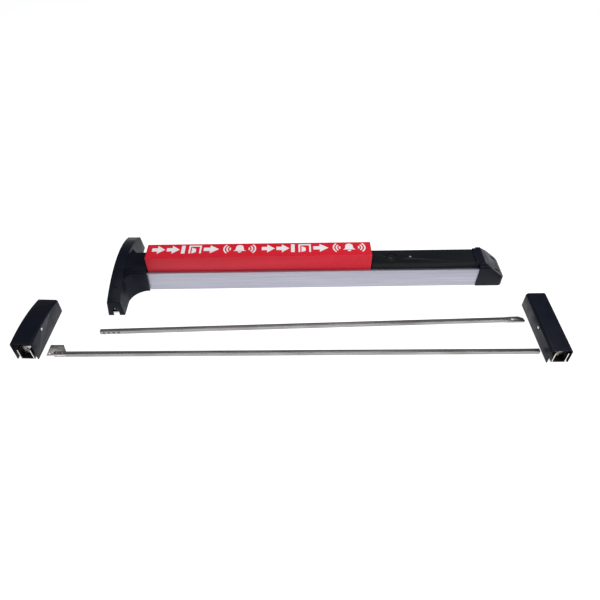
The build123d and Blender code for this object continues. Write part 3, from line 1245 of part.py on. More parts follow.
def model():
    """Every node of the kit by name."""
    nodes = {
        "rail_channel": rail_channel(), "rail_screws": rail_screws(), "splice_plate": splice_plate(),
        "push_pad": push_pad(), "sign_label": sign_label(), "pad_end_inserts": pad_end_inserts(),
        "pad_brackets": pad_brackets(), "pad_rivets": pad_rivets(), "spring_cups": spring_cups(),
        "return_springs": return_springs(), "spring_posts": spring_posts(), "pad_stops": pad_stops(),
        "micro_switches": micro_switches(), "crank_brackets": crank_brackets(),
        "crank_pivot_pins": crank_pivot_pins(), "drive_bar": drive_bar(),
        "head_cover": head_cover(), "head_cover_screws": head_cover_screws(),
        "head_chassis": head_chassis(), "rocker_post": rocker_post(), "head_rocker": head_rocker(),
        "head_rocker_pins": head_rocker_pins(), "upper_lifter": rod_lifter(180, 1),
        "lower_lifter": rod_lifter(0, -1), "lifter_guides": lifter_guides(),
        "alarm_cover": alarm_cover(), "cylinder_housing": cylinder_housing(),
        "cylinder_nut": cylinder_nut(), "key_plug": key_plug(), "lock_cam": lock_cam(),
        "status_lamp": status_lamp(), "alarm_tray": alarm_tray(), "circuit_board": circuit_board(),
        "battery_holder": battery_holder(), "battery": battery(), "sounder": sounder(),
        "end_cap": end_cap(), "end_cap_screws": end_cap_screws(),
        "end_bracket": end_bracket(),
    }
    for name, crank_x in zip(("left", "right"), CRANK_PLACES):
        nodes[name + "_crank"] = bell_crank(crank_x)
        nodes[name + "_crank_pins"] = bell_crank_pins(crank_x)
    top_makers = {"top_rod": top_rod, "top_rod_flag": top_rod_flag, "top_rod_rivets": top_rod_rivet_bodies}
    for name, make in top_makers.items():
        nodes[name] = laid(TOP_ROD_START, TOP_ROD_ANGLE, make())
    for name, make in (("bottom_rod", bottom_rod), ("bottom_rod_tongue", bottom_rod_tongue)):
        nodes[name] = laid(BOTTOM_ROD_START, BOTTOM_ROD_ANGLE, make())
    makers = {"cover": latch_cover, "cover_screw": latch_cover_screw, "chassis": latch_chassis,
              "carriage": latch_carriage, "bolt": latch_bolt, "spring": latch_spring}
    for name, case in (("top_latch_", TOP_CASE), ("bottom_latch_", BOTTOM_CASE)):
        for piece, make in makers.items():
            nodes[name + piece] = laid(case["place"], case["angle"], make(case))
    return nodes


os.makedirs("parts", exist_ok=True)
for node_name, node_shape in model().items():
    export_step(node_shape, f"parts/{node_name}.step")
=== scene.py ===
"""Looks of the panic exit bar kit: finished pieces, materials, studio and camera around its frame.

Metres, in the frame's own axes: +X along the bar, +Y up the door, +Z away from the door.
"""
import json
from math import cos, radians, sin, tau

import bmesh
import bpy
from mathutils import Matrix, Vector


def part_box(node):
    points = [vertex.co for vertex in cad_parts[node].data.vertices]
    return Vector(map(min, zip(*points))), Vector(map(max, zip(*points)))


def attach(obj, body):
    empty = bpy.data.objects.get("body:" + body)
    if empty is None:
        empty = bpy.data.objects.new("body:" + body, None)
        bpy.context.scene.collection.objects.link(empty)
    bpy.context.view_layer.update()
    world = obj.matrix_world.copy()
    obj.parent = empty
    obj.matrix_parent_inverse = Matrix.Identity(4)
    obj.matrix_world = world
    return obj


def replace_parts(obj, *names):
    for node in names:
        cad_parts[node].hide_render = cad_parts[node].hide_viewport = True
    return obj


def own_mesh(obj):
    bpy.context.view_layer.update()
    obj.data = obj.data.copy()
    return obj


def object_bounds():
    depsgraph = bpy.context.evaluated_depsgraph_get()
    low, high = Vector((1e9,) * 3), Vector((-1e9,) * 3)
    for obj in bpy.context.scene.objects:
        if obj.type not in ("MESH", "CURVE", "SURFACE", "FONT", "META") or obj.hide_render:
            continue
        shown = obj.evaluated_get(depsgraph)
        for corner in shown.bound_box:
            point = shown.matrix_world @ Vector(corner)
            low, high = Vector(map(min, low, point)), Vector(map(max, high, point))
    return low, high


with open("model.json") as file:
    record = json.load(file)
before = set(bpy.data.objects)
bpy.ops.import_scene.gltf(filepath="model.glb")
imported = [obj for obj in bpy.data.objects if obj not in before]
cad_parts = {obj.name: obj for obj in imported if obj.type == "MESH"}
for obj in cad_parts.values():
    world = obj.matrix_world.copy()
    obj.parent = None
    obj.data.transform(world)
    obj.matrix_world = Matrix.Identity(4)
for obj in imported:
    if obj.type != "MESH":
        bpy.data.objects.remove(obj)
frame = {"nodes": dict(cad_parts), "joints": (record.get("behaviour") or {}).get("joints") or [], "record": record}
cad_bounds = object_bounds()
NODES = frame["nodes"]
BODY_OF = {node: body for body, nodes in frame["record"]["behaviour"]["bodies"].items() for node in nodes}
MM = 0.001

# ---------------------------------------------------------------- camera
CAMERA_PLACE = (0.38004, -0.89828, 0.83148)
CAMERA_PITCH = 45.104       # degrees down from level
CAMERA_YAW = -0.549
CAMERA_ROLL = -0.398
CAMERA_LENS = 32.41
CAMERA_SENSOR = 36.0

# ---------------------------------------------------------------- light
FLOOR_GLOW = 0.9
OVERHEAD_POWER = 26.0
RIGHT_POWER = 20.0
FRONT_POWER = 4.0
ROOM_STRENGTH = 0.14
FLOOR_HALF = 5.0            # half the floor's side
FLOOR_DROP = 0.2 * MM

# ---------------------------------------------------------------- rounded edges
MOULD_EDGE = 0.8 * MM
COVER_EDGE = 0.5 * MM
RAIL_EDGE = 0.45 * MM
PAD_EDGE = 0.4 * MM
ROD_EDGE = 0.5 * MM
BOLT_EDGE = 0.6 * MM
RIM_EDGE = 0.3 * MM
SHEET_EDGE = 0.35 * MM
SMALL_EDGE = 0.25 * MM
PLATE_EDGE = 0.2 * MM
FINE_EDGE = 0.15 * MM
FILM_EDGE = 0.1 * MM
BEVEL_ANGLE = 38      # degrees, the least corner that is rounded
FLAT_ANGLE = 0.4      # degrees, facets flatter than this are joined
WELD_GAP = 0.002 * MM

# ---------------------------------------------------------------- sign
INK_THICKNESS = 0.15 * MM
SYMBOL_HEIGHT = 26.0
SYMBOL_SHIFT = 3.7          # towards the far edge of the sign
SIGN_CORNER = 2.4
WAVE_WIDTH = 19.0
BELL_WIDTH = 27.0
WAVE_GAP = 3.0
WAVE_SPREAD = 50            # degrees each side of the way that it faces
SET_GAP = 12.0              # between the two sets of symbols

# ---------------------------------------------------------------- springs
RETURN_RADIUS = 5.6 * MM
RETURN_WIRE = 1.2 * MM
LATCH_SPRING_RADIUS = 4.6 * MM
LATCH_SPRING_WIRE = 1.1 * MM
LATCH_SPRING_LENGTH = 33.8 * MM
SPRING_TURNS = 9
WIRE_SIDES = 10
STEPS_PER_TURN = 28


# ================================================================ shader building
class Look:
    """A procedural material, built around its own Principled shader in the piece's own coordinates."""

    def __init__(self, name, **values):
        self.material = bpy.data.materials.new(name)
        self.material.use_nodes = True
        self.tree = self.material.node_tree
        self.shader = self.tree.nodes["Principled BSDF"]
        self.place = self.tree.nodes.new("ShaderNodeTexCoord").outputs["Object"]
        self.heights = None
        self.set(self.shader, values)

    def set(self, node, values):
        """Give a node's inputs their fixed values or links."""
        for key, value in values.items():
            socket = node.inputs[key.replace("_", " ").capitalize() if key.islower() else key]
            if isinstance(value, bpy.types.NodeSocket):
                self.tree.links.new(value, socket)
            elif isinstance(value, tuple) and len(value) == 3 and socket.type == "RGBA":
                socket.default_value = (*value, 1.0)
            else:
                socket.default_value = value

    def stretched(self, stretch):
        """The piece's coordinates, scaled along each axis."""
        mapping = self.tree.nodes.new("ShaderNodeMapping")
        self.tree.links.new(self.place, mapping.inputs["Vector"])
        mapping.inputs["Scale"].default_value = stretch
        return mapping.outputs["Vector"]

    def noise(self, scale, stretch=(1, 1, 1), detail=3.0, distortion=0.0):
        """A soft random value over the surface."""
        node = self.tree.nodes.new("ShaderNodeTexNoise")
        self.set(node, {"Vector": self.stretched(stretch), "Scale": scale, "Detail": detail,
                        "Distortion": distortion})
        return node.outputs["Fac"]

    def cells(self, scale, stretch=(1, 1, 1)):
        """A random value per small cell, as on zinc spangle."""
        node = self.tree.nodes.new("ShaderNodeTexVoronoi")
        self.set(node, {"Vector": self.stretched(stretch), "Scale": scale})
        separate = self.tree.nodes.new("ShaderNodeSeparateColor")
        self.tree.links.new(node.outputs["Color"], separate.inputs["Color"])
        return separate.outputs["Red"]

    def edges(self):
        """High along convex edges."""
        return self.tree.nodes.new("ShaderNodeNewGeometry").outputs["Pointiness"]

    def along(self, axis):
        """One of the piece's coordinates."""
        node = self.tree.nodes.new("ShaderNodeSeparateXYZ")
        self.tree.links.new(self.place, node.inputs["Vector"])
        return node.outputs[axis]

    def span(self, source, low, high, to_low, to_high):
        """Map a value from one range to another, clamped."""
        node = self.tree.nodes.new("ShaderNodeMapRange")
        self.set(node, {"Value": source, "From Min": low, "From Max": high,
                        "To Min": to_low, "To Max": to_high})
        return node.outputs["Result"]

    def between(self, source, first, second):
        """A colour between two, by a value; either may itself be a link."""
        node = self.tree.nodes.new("ShaderNodeMix")
        node.data_type = "RGBA"
        self.tree.links.new(source, node.inputs[0])
        for socket, colour in ((node.inputs[6], first), (node.inputs[7], second)):
            if isinstance(colour, bpy.types.NodeSocket):
                self.tree.links.new(colour, socket)
            else:
                socket.default_value = (*colour, 1.0)
        return node.outputs[2]

    def colour(self, source):
        """Send a colour to the shader."""
        self.tree.links.new(source, self.shader.inputs["Base Color"])

    def roughness(self, source):
        """Send a roughness to the shader."""
        self.tree.links.new(source, self.shader.inputs["Roughness"])

    def bump(self, source, strength, distance):
        """Add a layer of fine relief."""
        node = self.tree.nodes.new("ShaderNodeBump")
        self.set(node, {"Height": source, "Strength": strength, "Distance": distance})
        if self.heights is not None:
            self.tree.links.new(self.heights, node.inputs["Normal"])
        self.heights = node.outputs["Normal"]
        self.tree.links.new(self.heights, self.shader.inputs["Normal"])


# ================================================================ materials
def moulded_black():
    """Satin black moulding with a fine grain and slightly polished edges."""
    look = Look("moulded_black", IOR=1.5)
    look.shader.inputs["Specular IOR Level"].default_value = 0.09
    tone = look.between(look.noise(28, detail=4), (0.004, 0.005, 0.009), (0.009, 0.011, 0.019))
    worn = look.span(look.edges(), 0.52, 0.60, 0, 0.55)
    look.colour(look.between(worn, tone, (0.04, 0.045, 0.06)))
    look.roughness(look.span(look.noise(60, detail=5), 0.3, 0.7, 0.30, 0.44))
    look.bump(look.noise(1500, detail=2), 0.16, 0.12 * MM)
    look.bump(look.noise(90, detail=2), 0.05, 0.5 * MM)
    return look.material


def smooth_black():
    """The alarm cover's finer black, with faint lengthwise flow marks."""
    look = Look("smooth_black", IOR=1.5)
    look.shader.inputs["Specular IOR Level"].default_value = 0.09
    tone = look.between(look.noise(20, (0.2, 1, 1), 4), (0.005, 0.006, 0.007), (0.012, 0.014, 0.016))
    worn = look.span(look.edges(), 0.52, 0.60, 0, 0.4)
    look.colour(look.between(worn, tone, (0.05, 0.05, 0.055)))
    look.roughness(look.span(look.noise(40, (0.3, 1, 1), 4), 0.3, 0.7, 0.26, 0.36))
    look.bump(look.noise(2200, detail=1), 0.08, 0.1 * MM)
    return look.material


def extruded_aluminium():
    """Clear anodised extrusion: fine die lines along the rail and soft cloudy patches."""
    look = Look("extruded_aluminium", Metallic=1.0)
    lines = look.noise(700, (0.012, 1, 1), 3)
    cloud = look.noise(9, (0.6, 1, 1), 3)
    tone = look.between(look.span(lines, 0.35, 0.65, 0, 1), (0.36, 0.365, 0.43), (0.46, 0.465, 0.53))
    look.colour(look.between(look.span(cloud, 0.3, 0.7, 0, 0.25), tone, (0.40, 0.39, 0.46)))
    look.roughness(look.span(look.noise(400, (0.02, 1, 1), 2), 0.3, 0.7, 0.36, 0.48))
    look.bump(lines, 0.10, 0.05 * MM)
    return look.material


def painted_red():
    """Satin red coat with a light orange peel and rubbed edges."""
    look = Look("painted_red", IOR=1.5)
    look.shader.inputs["Specular IOR Level"].default_value = 0.25
    tone = look.between(look.noise(14, (0.5, 1, 1), 4), (0.56, 0.008, 0.022), (0.66, 0.012, 0.030))
    rubbed = look.span(look.edges(), 0.53, 0.62, 0, 0.6)
    look.colour(look.between(rubbed, tone, (0.80, 0.06, 0.09)))
    look.roughness(look.span(look.noise(50, detail=4), 0.3, 0.7, 0.34, 0.46))
    look.bump(look.noise(620, detail=2), 0.07, 0.12 * MM)
    return look.material


def red_film():
    """The sign's printed film: even red, smooth, with faint waviness."""
    look = Look("red_film", IOR=1.48)
    look.colour(look.between(look.noise(10, (0.4, 1, 1), 3), (0.62, 0.008, 0.022), (0.72, 0.012, 0.030)))
    look.roughness(look.span(look.noise(35, detail=3), 0.3, 0.7, 0.28, 0.38))
    look.bump(look.noise(60, (0.4, 1, 1), 2), 0.05, 0.2 * MM)
    return look.material


def white_ink():
    """Slightly mottled screen ink."""
    look = Look("white_ink", IOR=1.45)
    look.colour(look.between(look.noise(300, detail=4), (0.80, 0.76, 0.77), (0.92, 0.91, 0.91)))
    look.roughness(look.span(look.noise(120, detail=3), 0.3, 0.7, 0.42, 0.56))
    look.bump(look.noise(1800, detail=2), 0.05, 0.05 * MM)
    return look.material


def drawn_steel():
    """Cold drawn bar: die lines along it, grey and slightly stained."""
    look = Look("drawn_steel", Metallic=1.0)
    lines = look.noise(900, (0.02, 1, 1), 3)
    tone = look.between(look.span(lines, 0.3, 0.7, 0, 1), (0.24, 0.232, 0.228), (0.44, 0.428, 0.42))
    stain = look.span(look.noise(26, (0.35, 1, 1), 5), 0.52, 0.70, 0, 0.55)
    look.colour(look.between(stain, tone, (0.17, 0.155, 0.145)))
    look.roughness(look.span(look.noise(300, (0.04, 1, 1), 3), 0.3, 0.7, 0.28, 0.44))
    look.bump(lines, 0.12, 0.04 * MM)
    return look.material


def cut_steel():
    """Pressed and turned steel of the mechanism, lightly oiled."""
    look = Look("cut_steel", Metallic=1.0)
    grain = look.noise(500, detail=4)
    tone = look.between(look.span(grain, 0.35, 0.65, 0, 1), (0.42, 0.42, 0.43), (0.58, 0.58, 0.59))
    bright = look.span(look.edges(), 0.52, 0.62, 0, 0.7)
    look.colour(look.between(bright, tone, (0.74, 0.74, 0.75)))
    look.roughness(look.span(look.noise(80, detail=5), 0.3, 0.7, 0.26, 0.46))
    look.bump(grain, 0.06, 0.04 * MM)
    return look.material


def zinc_plate():
    """Zinc plating with a warm passivated tint and fine spangle."""
    look = Look("zinc_plate", Metallic=1.0)
    spangle = look.cells(420)
    tone = look.between(look.span(spangle, 0, 1, 0, 1), (0.58, 0.55, 0.51), (0.76, 0.73, 0.69))
    look.colour(look.between(look.span(look.noise(60, detail=4), 0.4, 0.7, 0, 0.5), tone, (0.66, 0.58, 0.54)))
    look.roughness(look.span(look.noise(140, detail=4), 0.3, 0.7, 0.34, 0.56))
    look.bump(look.noise(900, detail=3), 0.10, 0.05 * MM)
    return look.material


def black_oxide():
    """Blackened steel of the key cylinder and the dark screws."""
    look = Look("black_oxide", Metallic=0.7)
    rubbed = look.span(look.edges(), 0.52, 0.62, 0, 0.6)
    tone = look.between(look.noise(150, detail=4), (0.010, 0.010, 0.012), (0.022, 0.022, 0.026))
    look.colour(look.between(rubbed, tone, (0.14, 0.14, 0.15)))
    look.roughness(look.span(look.noise(260, detail=3), 0.3, 0.7, 0.30, 0.48))
    look.bump(look.noise(1400, detail=2), 0.08, 0.04 * MM)
    return look.material


def dark_channel():
    """Blackened sheet with a painted highlight: every face turned toward -Y, including the cut edges at the mouth,
    is coloured near-white.
    """
    look = Look("dark_channel", Metallic=0.8)
    facing = look.tree.nodes.new("ShaderNodeSeparateXYZ")
    normal = look.tree.nodes.new("ShaderNodeTexCoord").outputs["Normal"]
    look.tree.links.new(normal, facing.inputs["Vector"])
    # painted highlight: faces whose normal points toward -Y get a near-white colour
    painted_front_highlight = look.span(facing.outputs["Y"], -0.99, -0.93, 1, 0)
    tone = look.between(look.noise(120, detail=4), (0.012, 0.012, 0.014), (0.030, 0.029, 0.030))
    look.colour(look.between(painted_front_highlight, tone, (0.80, 0.78, 0.76)))
    look.roughness(look.span(look.noise(200, detail=3), 0.3, 0.7, 0.34, 0.50))
    look.bump(look.noise(1100, detail=2), 0.08, 0.04 * MM)
    return look.material


def bright_zinc():
    """Bright zinc screws."""
    look = Look("bright_zinc", Metallic=1.0)
    look.colour(look.between(look.noise(500, detail=3), (0.74, 0.75, 0.77), (0.88, 0.88, 0.89)))
    look.roughness(look.span(look.noise(300, detail=3), 0.3, 0.7, 0.14, 0.28))
    look.bump(look.noise(1200, detail=2), 0.05, 0.03 * MM)
    return look.material


def moulded_rubber():
    """Dull rubber bumpers."""
    look = Look("moulded_rubber")
    look.colour(look.between(look.noise(200, detail=4), (0.014, 0.014, 0.014), (0.030, 0.029, 0.028)))
    look.roughness(look.span(look.noise(90, detail=4), 0.3, 0.7, 0.72, 0.9))
    look.bump(look.noise(1300, detail=3), 0.2, 0.08 * MM)
    return look.material


def lamp_lens():
    """The lamp's clouded clear lens."""
    look = Look("lamp_lens", IOR=1.49)
    look.shader.inputs["Transmission Weight"].default_value = 0.35
    look.colour(look.between(look.noise(500, detail=3), (0.30, 0.32, 0.36), (0.42, 0.44, 0.48)))
    look.roughness(look.span(look.noise(240, detail=2), 0.3, 0.7, 0.10, 0.22))
    look.bump(look.noise(700, detail=2), 0.04, 0.05 * MM)
    return look.material


def solder_mask():
    """The circuit board's green mask, with darker and lighter tracks showing through."""
    look = Look("solder_mask", IOR=1.5)
    tracks = look.tree.nodes.new("ShaderNodeTexBrick")
    look.set(tracks, {"Vector": look.stretched((1, 1, 1)), "Scale": 60.0, "Mortar Size": 0.035,
                      "Color1": (0.012, 0.085, 0.035), "Color2": (0.018, 0.105, 0.045),
                      "Mortar": (0.07, 0.26, 0.11)})
    look.colour(look.between(look.span(look.noise(90, detail=4), 0.3, 0.7, 0, 0.35), tracks.outputs["Color"],
                             (0.01, 0.06, 0.03)))
    look.roughness(look.span(look.noise(200, detail=3), 0.3, 0.7, 0.22, 0.36))
    look.bump(tracks.outputs["Fac"], 0.25, 0.06 * MM)
    return look.material


def battery_can():
    """A printed can: dark body with a copper-coloured band at its terminal end."""
    look = Look("battery_can", Metallic=0.5)
    low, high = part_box("battery")
    step = low.x + (high.x - low.x) * 0.28
    band = look.span(look.along("X"), step - 0.2 * MM, step + 0.2 * MM, 1, 0)
    dark = look.between(look.noise(120, detail=3), (0.018, 0.018, 0.022), (0.035, 0.035, 0.042))
    look.colour(look.between(band, dark, (0.48, 0.24, 0.10)))
    look.roughness(look.span(look.noise(180, detail=3), 0.3, 0.7, 0.26, 0.40))
    look.bump(look.noise(700, detail=2), 0.05, 0.05 * MM)
    return look.material


def spring_wire():
    """Oil-tempered wire."""
    look = Look("spring_wire", Metallic=1.0)
    look.colour(look.between(look.noise(700, detail=3), (0.26, 0.26, 0.28), (0.44, 0.44, 0.46)))
    look.roughness(look.span(look.noise(500, detail=3), 0.3, 0.7, 0.24, 0.40))
    look.bump(look.noise(2400, detail=2), 0.08, 0.03 * MM)
    return look.material


BLACK = moulded_black()
SMOOTH_BLACK = smooth_black()
ALUMINIUM = extruded_aluminium()
RED = painted_red()
FILM = red_film()
INK = white_ink()
BAR_STEEL = drawn_steel()
STEEL = cut_steel()
ZINC = zinc_plate()
OXIDE = black_oxide()
CHANNEL = dark_channel()
BRIGHT = bright_zinc()
RUBBER = moulded_rubber()
LENS = lamp_lens()
BOARD = solder_mask()
BATTERY = battery_can()
WIRE = spring_wire()


# ================================================================ making pieces
def new_piece(name, mesh, material, body):
    """Put a mesh in the scene on its body, with its material."""
    piece = bpy.data.objects.new(name, mesh)
    bpy.context.scene.collection.objects.link(piece)
    mesh.materials.clear()
    mesh.materials.append(material)
    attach(piece, body)
    return piece


def final_mesh(piece):
    """The piece's mesh with its modifiers worked in."""
    graph = bpy.context.evaluated_depsgraph_get()
    mesh = bpy.data.meshes.new_from_object(piece.evaluated_get(graph))
    piece.modifiers.clear()
    piece.data = mesh
    return piece


def rounded_edges(piece, width, segments):
    """Round every sharp edge, and shade the flats flat."""
    bevel = piece.modifiers.new("rounded", "BEVEL")
    bevel.limit_method = "ANGLE"
    bevel.angle_limit = radians(BEVEL_ANGLE)
    bevel.width = width
    bevel.segments = segments
    bevel.use_clamp_overlap = False
    bevel.miter_outer = "MITER_ARC"
    bevel.harden_normals = True
    return final_mesh(piece)


def finished(node, material, width, segments=3):
    """A finished copy of a CAD node, with its edges rounded, standing for it."""
    mesh = NODES[node].data.copy()
    work = bmesh.new()
    work.from_mesh(mesh)
    bmesh.ops.remove_doubles(work, verts=work.verts, dist=WELD_GAP)
    bmesh.ops.dissolve_limit(work, angle_limit=radians(FLAT_ANGLE), verts=work.verts, edges=work.edges)
    for face in work.faces:
        face.smooth = True
    work.to_mesh(mesh)
    work.free()
    piece = new_piece(node + "_finished", mesh, material, BODY_OF[node])
    rounded_edges(piece, width, segments)
    low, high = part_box(node)
    for vertex in piece.data.vertices:
        vertex.co = [min(max(value, least), most) for value, least, most in zip(vertex.co, low, high)]
    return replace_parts(piece, node)


def kept(node, material):
    """A CAD node that stays, with its material and softened edges."""
    piece = NODES[node]
    for place in piece.material_slots:
        place.material = material
    weld = piece.modifiers.new("weld", "WELD")
    weld.merge_threshold = WELD_GAP
    bevel = piece.modifiers.new("rounded", "BEVEL")
    bevel.limit_method = "ANGLE"
    bevel.angle_limit = radians(BEVEL_ANGLE)
    bevel.width = SMALL_EDGE
    bevel.segments = 2
    bevel.harden_normals = True


def coil(name, radius, wire, turns, length, material, body):
    """A compression spring along +Z from the origin, with closed and ground end turns."""
    total = int(turns * STEPS_PER_TURN)
    work = bmesh.new()
    rings = []
    for step in range(total + 1):
        share = step / total
        turn = turns * share
        open_turns = turns - 2.0
        rise = min(max((turn - 1.0) / open_turns, 0.0), 1.0)
        closed = min(turn, 1.0) + min(max(turn - turns + 1.0, 0.0), 1.0)
        height = wire / 2 + closed * wire * 1.02 + rise * (length - wire - 2 * wire * 1.02)
        angle = tau * turn
        outward = Vector((cos(angle), sin(angle), 0))
        centre = outward * radius + Vector((0, 0, height))
        ring = []
        for side in range(WIRE_SIDES):
            around = tau * side / WIRE_SIDES
            point = centre + (outward * cos(around) + Vector((0, 0, 1)) * sin(around)) * wire / 2
            point.z = min(max(point.z, wire * 0.12), length - wire * 0.12)
            ring.append(work.verts.new(point))
        rings.append(ring)
    for first, second in zip(rings, rings[1:]):
        for side in range(WIRE_SIDES):
            after = (side + 1) % WIRE_SIDES
            work.faces.new((first[side], first[after], second[after], second[side]))
    work.faces.new(reversed(rings[0]))
    work.faces.new(rings[-1])
    for face in work.faces:
        face.smooth = True
    mesh = bpy.data.meshes.new(name)
    work.to_mesh(mesh)
    work.free()
    return new_piece(name, mesh, material, body)


# ================================================================ sign
def flat_solid(work, outline, low, high):
    """A thin plate between two heights from a closed outline, in millimetres across."""
    base = [work.verts.new((x * MM, y * MM, low)) for x, y in outline]
    roof = [work.verts.new((x * MM, y * MM, high)) for x, y in outline]
    work.faces.new(roof)
    work.faces.new(reversed(base))
    count = len(outline)
    for index in range(count):
        after = (index + 1) % count
        work.faces.new((base[index], base[after], roof[after], roof[index]))


def arc(centre, radius, start, end, steps=12):
    """Points of an arc in degrees."""
    points = []
    for step in range(steps + 1):
        angle = radians(start + (end - start) * step / steps)
        points.append((centre[0] + radius * cos(angle), centre[1] + radius * sin(angle)))
    return points


def bar_symbol(x, width):
    """An upright bar."""
    half = SYMBOL_HEIGHT / 2
    return [[(x, -half), (x + width, -half), (x + width, half), (x, half)]]


def arrow_symbol(x, width):
    """An arrow that points along the bar."""
    half = SYMBOL_HEIGHT / 2
    stem = SYMBOL_HEIGHT * 0.21
    neck = x + width * 0.42
    return [[(x, -stem), (neck, -stem), (neck, -half), (x + width, 0), (neck, half), (neck, stem), (x, stem)]]


def door_symbol(x, width):
    """A door frame with its leaf standing open."""
    half = SYMBOL_HEIGHT / 2
    line = SYMBOL_HEIGHT * 0.15
    right = x + width
    frame_line = [(x, -half), (x + line, -half), (x + line, half - line), (right - line, half - line),
                  (right - line, -half), (right, -half), (right, half), (x, half)]
    leaf = [(x + line * 1.7, -half), (x + width * 0.58, -half + line), (x + width * 0.58, half - line * 3.0),
            (x + line * 1.7, half - line * 1.8)]
    return [frame_line, leaf]


def bell_symbol(x, width):
    """A bell with its clapper."""
    half = SYMBOL_HEIGHT / 2
    middle = x + width / 2
    shoulder = width * 0.30
    dome = arc((middle, half - shoulder), shoulder, 180, 0)
    brim = half * 0.52
    body = [(x, -brim), (x + width, -brim), (middle + shoulder * 1.12, -brim * 0.45)]
    body += list(reversed(dome)) + [(middle - shoulder * 1.12, -brim * 0.45)]
    clapper = arc((middle, -brim - 1.6), width * 0.15, 180, 360)
    return [body, clapper]


def wave_symbols(x, width, facing):
    """Three sound arcs that spread to one side."""
    line = SYMBOL_HEIGHT * 0.12
    centre = (x if facing > 0 else x + width, 0)
    middle = 0 if facing > 0 else 180
    shapes = []
    for share in (0.32, 0.66, 1.0):
        outer = width * share
        inner = outer - line
        far_line = arc(centre, outer, middle - WAVE_SPREAD, middle + WAVE_SPREAD)
        near_line = arc(centre, inner, middle + WAVE_SPREAD, middle - WAVE_SPREAD)
        shapes.append(far_line + near_line)
    return shapes


def sign_symbols(sign_low, sign_high):
    """White symbols along the sign: press, open door, alarm bell, twice over."""
    steps = ((arrow_symbol, 28.0, 3.5), (arrow_symbol, 28.0, 3.5), (bar_symbol, 8.0, 8.0),
             (door_symbol, 27.0, 5.0), (arrow_symbol, 33.0, 9.0))
    set_width = sum(width + after for _, width, after in steps) + 2 * (WAVE_WIDTH + WAVE_GAP) + BELL_WIDTH
    total = 2 * set_width + SET_GAP
    middle = (sign_low + sign_high) / 2 / MM
    work = bmesh.new()
    for start in (middle.x - total / 2, middle.x + SET_GAP / 2):
        shapes = []
        x = start
        for symbol, width, after in steps:
            shapes += symbol(x, width)
            x += width + after
        shapes += wave_symbols(x, WAVE_WIDTH, -1)
        x += WAVE_WIDTH + WAVE_GAP
        shapes += bell_symbol(x, BELL_WIDTH)
        x += BELL_WIDTH + WAVE_GAP
        shapes += wave_symbols(x, WAVE_WIDTH, 1)
        for shape in shapes:
            moved = [(px, py + SYMBOL_SHIFT) for px, py in shape]
            flat_solid(work, moved, sign_high.z - INK_THICKNESS, sign_high.z)
    bmesh.ops.recalc_face_normals(work, faces=work.faces)
    mesh = bpy.data.meshes.new("sign_symbols")
    work.to_mesh(mesh)
    work.free()
    return new_piece("sign_symbols", mesh, INK, "pad")


def sign_panel(low, high):
    """The sign film under the ink, with round corners."""
    work = bmesh.new()
    radius = SIGN_CORNER
    left = low.x / MM + radius
    right = high.x / MM - radius
    near = low.y / MM + radius
    far = high.y / MM - radius
    corners = ((right, far, 0), (left, far, 90), (left, near, 180), (right, near, 270))
    outline = []
    for x, y, start in corners:
        outline += arc((x, y), radius, start, start + 90, 6)
    flat_solid(work, outline, low.z, high.z - INK_THICKNESS)
    mesh = bpy.data.meshes.new("sign_film")
    work.to_mesh(mesh)
    work.free()
    panel = new_piece("sign_film", mesh, FILM, "pad")
    rounded_edges(panel, FILM_EDGE, 2)
    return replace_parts(panel, "sign_label")


def covers():
    """The black casings."""
    for node in ("head_cover", "end_cap", "top_latch_cover", "bottom_latch_cover"):
        finished(node, BLACK, MOULD_EDGE, 4)
    finished("alarm_cover", SMOOTH_BLACK, COVER_EDGE)


def bar_outside():
    """Rail, pad and sign."""
    finished("rail_channel", ALUMINIUM, RAIL_EDGE)
    finished("push_pad", RED, PAD_EDGE)
    finished("pad_end_inserts", RED, PAD_EDGE)
    low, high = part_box("sign_label")
    sign_panel(low, high)
    sign_symbols(low, high)


def lock_face():
    """Key cylinder, plug, lamp and screws that show from outside."""
    finished("cylinder_housing", OXIDE, RIM_EDGE)
    finished("key_plug", OXIDE, FINE_EDGE)
    finished("status_lamp", LENS, FINE_EDGE, 2)
    for node in ("head_cover_screws", "end_cap_screws"):
        finished(node, OXIDE, FINE_EDGE, 2)
    for node in ("top_latch_cover_screw", "bottom_latch_cover_screw"):
        finished(node, BRIGHT, FINE_EDGE, 2)


def rods():
    """The square rods with their end pieces."""
    for node in ("top_rod", "bottom_rod"):
        finished(node, BAR_STEEL, ROD_EDGE)
    finished("bottom_rod_tongue", BAR_STEEL, PLATE_EDGE)
    finished("top_rod_flag", ZINC, PLATE_EDGE)
    finished("top_rod_rivets", STEEL, RIM_EDGE)


def latch_works():
    """The steel inside the latch cases."""
    for side in ("top", "bottom"):
        finished(side + "_latch_chassis", CHANNEL, FINE_EDGE, 2)
        finished(side + "_latch_carriage", ZINC, SHEET_EDGE, 2)
        finished(side + "_latch_bolt", BAR_STEEL, BOLT_EDGE)


def kept_works():
    """The mechanism under the covers, which keeps its CAD shapes."""
    steel = ("rail_screws", "splice_plate", "crank_brackets", "crank_pivot_pins", "head_chassis",
             "rocker_post", "pad_brackets", "pad_rivets", "left_crank", "left_crank_pins", "right_crank",
             "right_crank_pins", "drive_bar", "head_rocker", "head_rocker_pins", "upper_lifter",
             "lower_lifter", "end_bracket", "cylinder_nut", "lock_cam")
    plastic = ("lifter_guides", "spring_cups", "spring_posts", "alarm_tray", "battery_holder",
               "micro_switches", "sounder")
    for nodes, material in ((steel, STEEL), (plastic, BLACK), (("pad_stops",), RUBBER),
                            (("circuit_board",), BOARD), (("battery",), BATTERY)):
        for node in nodes:
            kept(node, material)


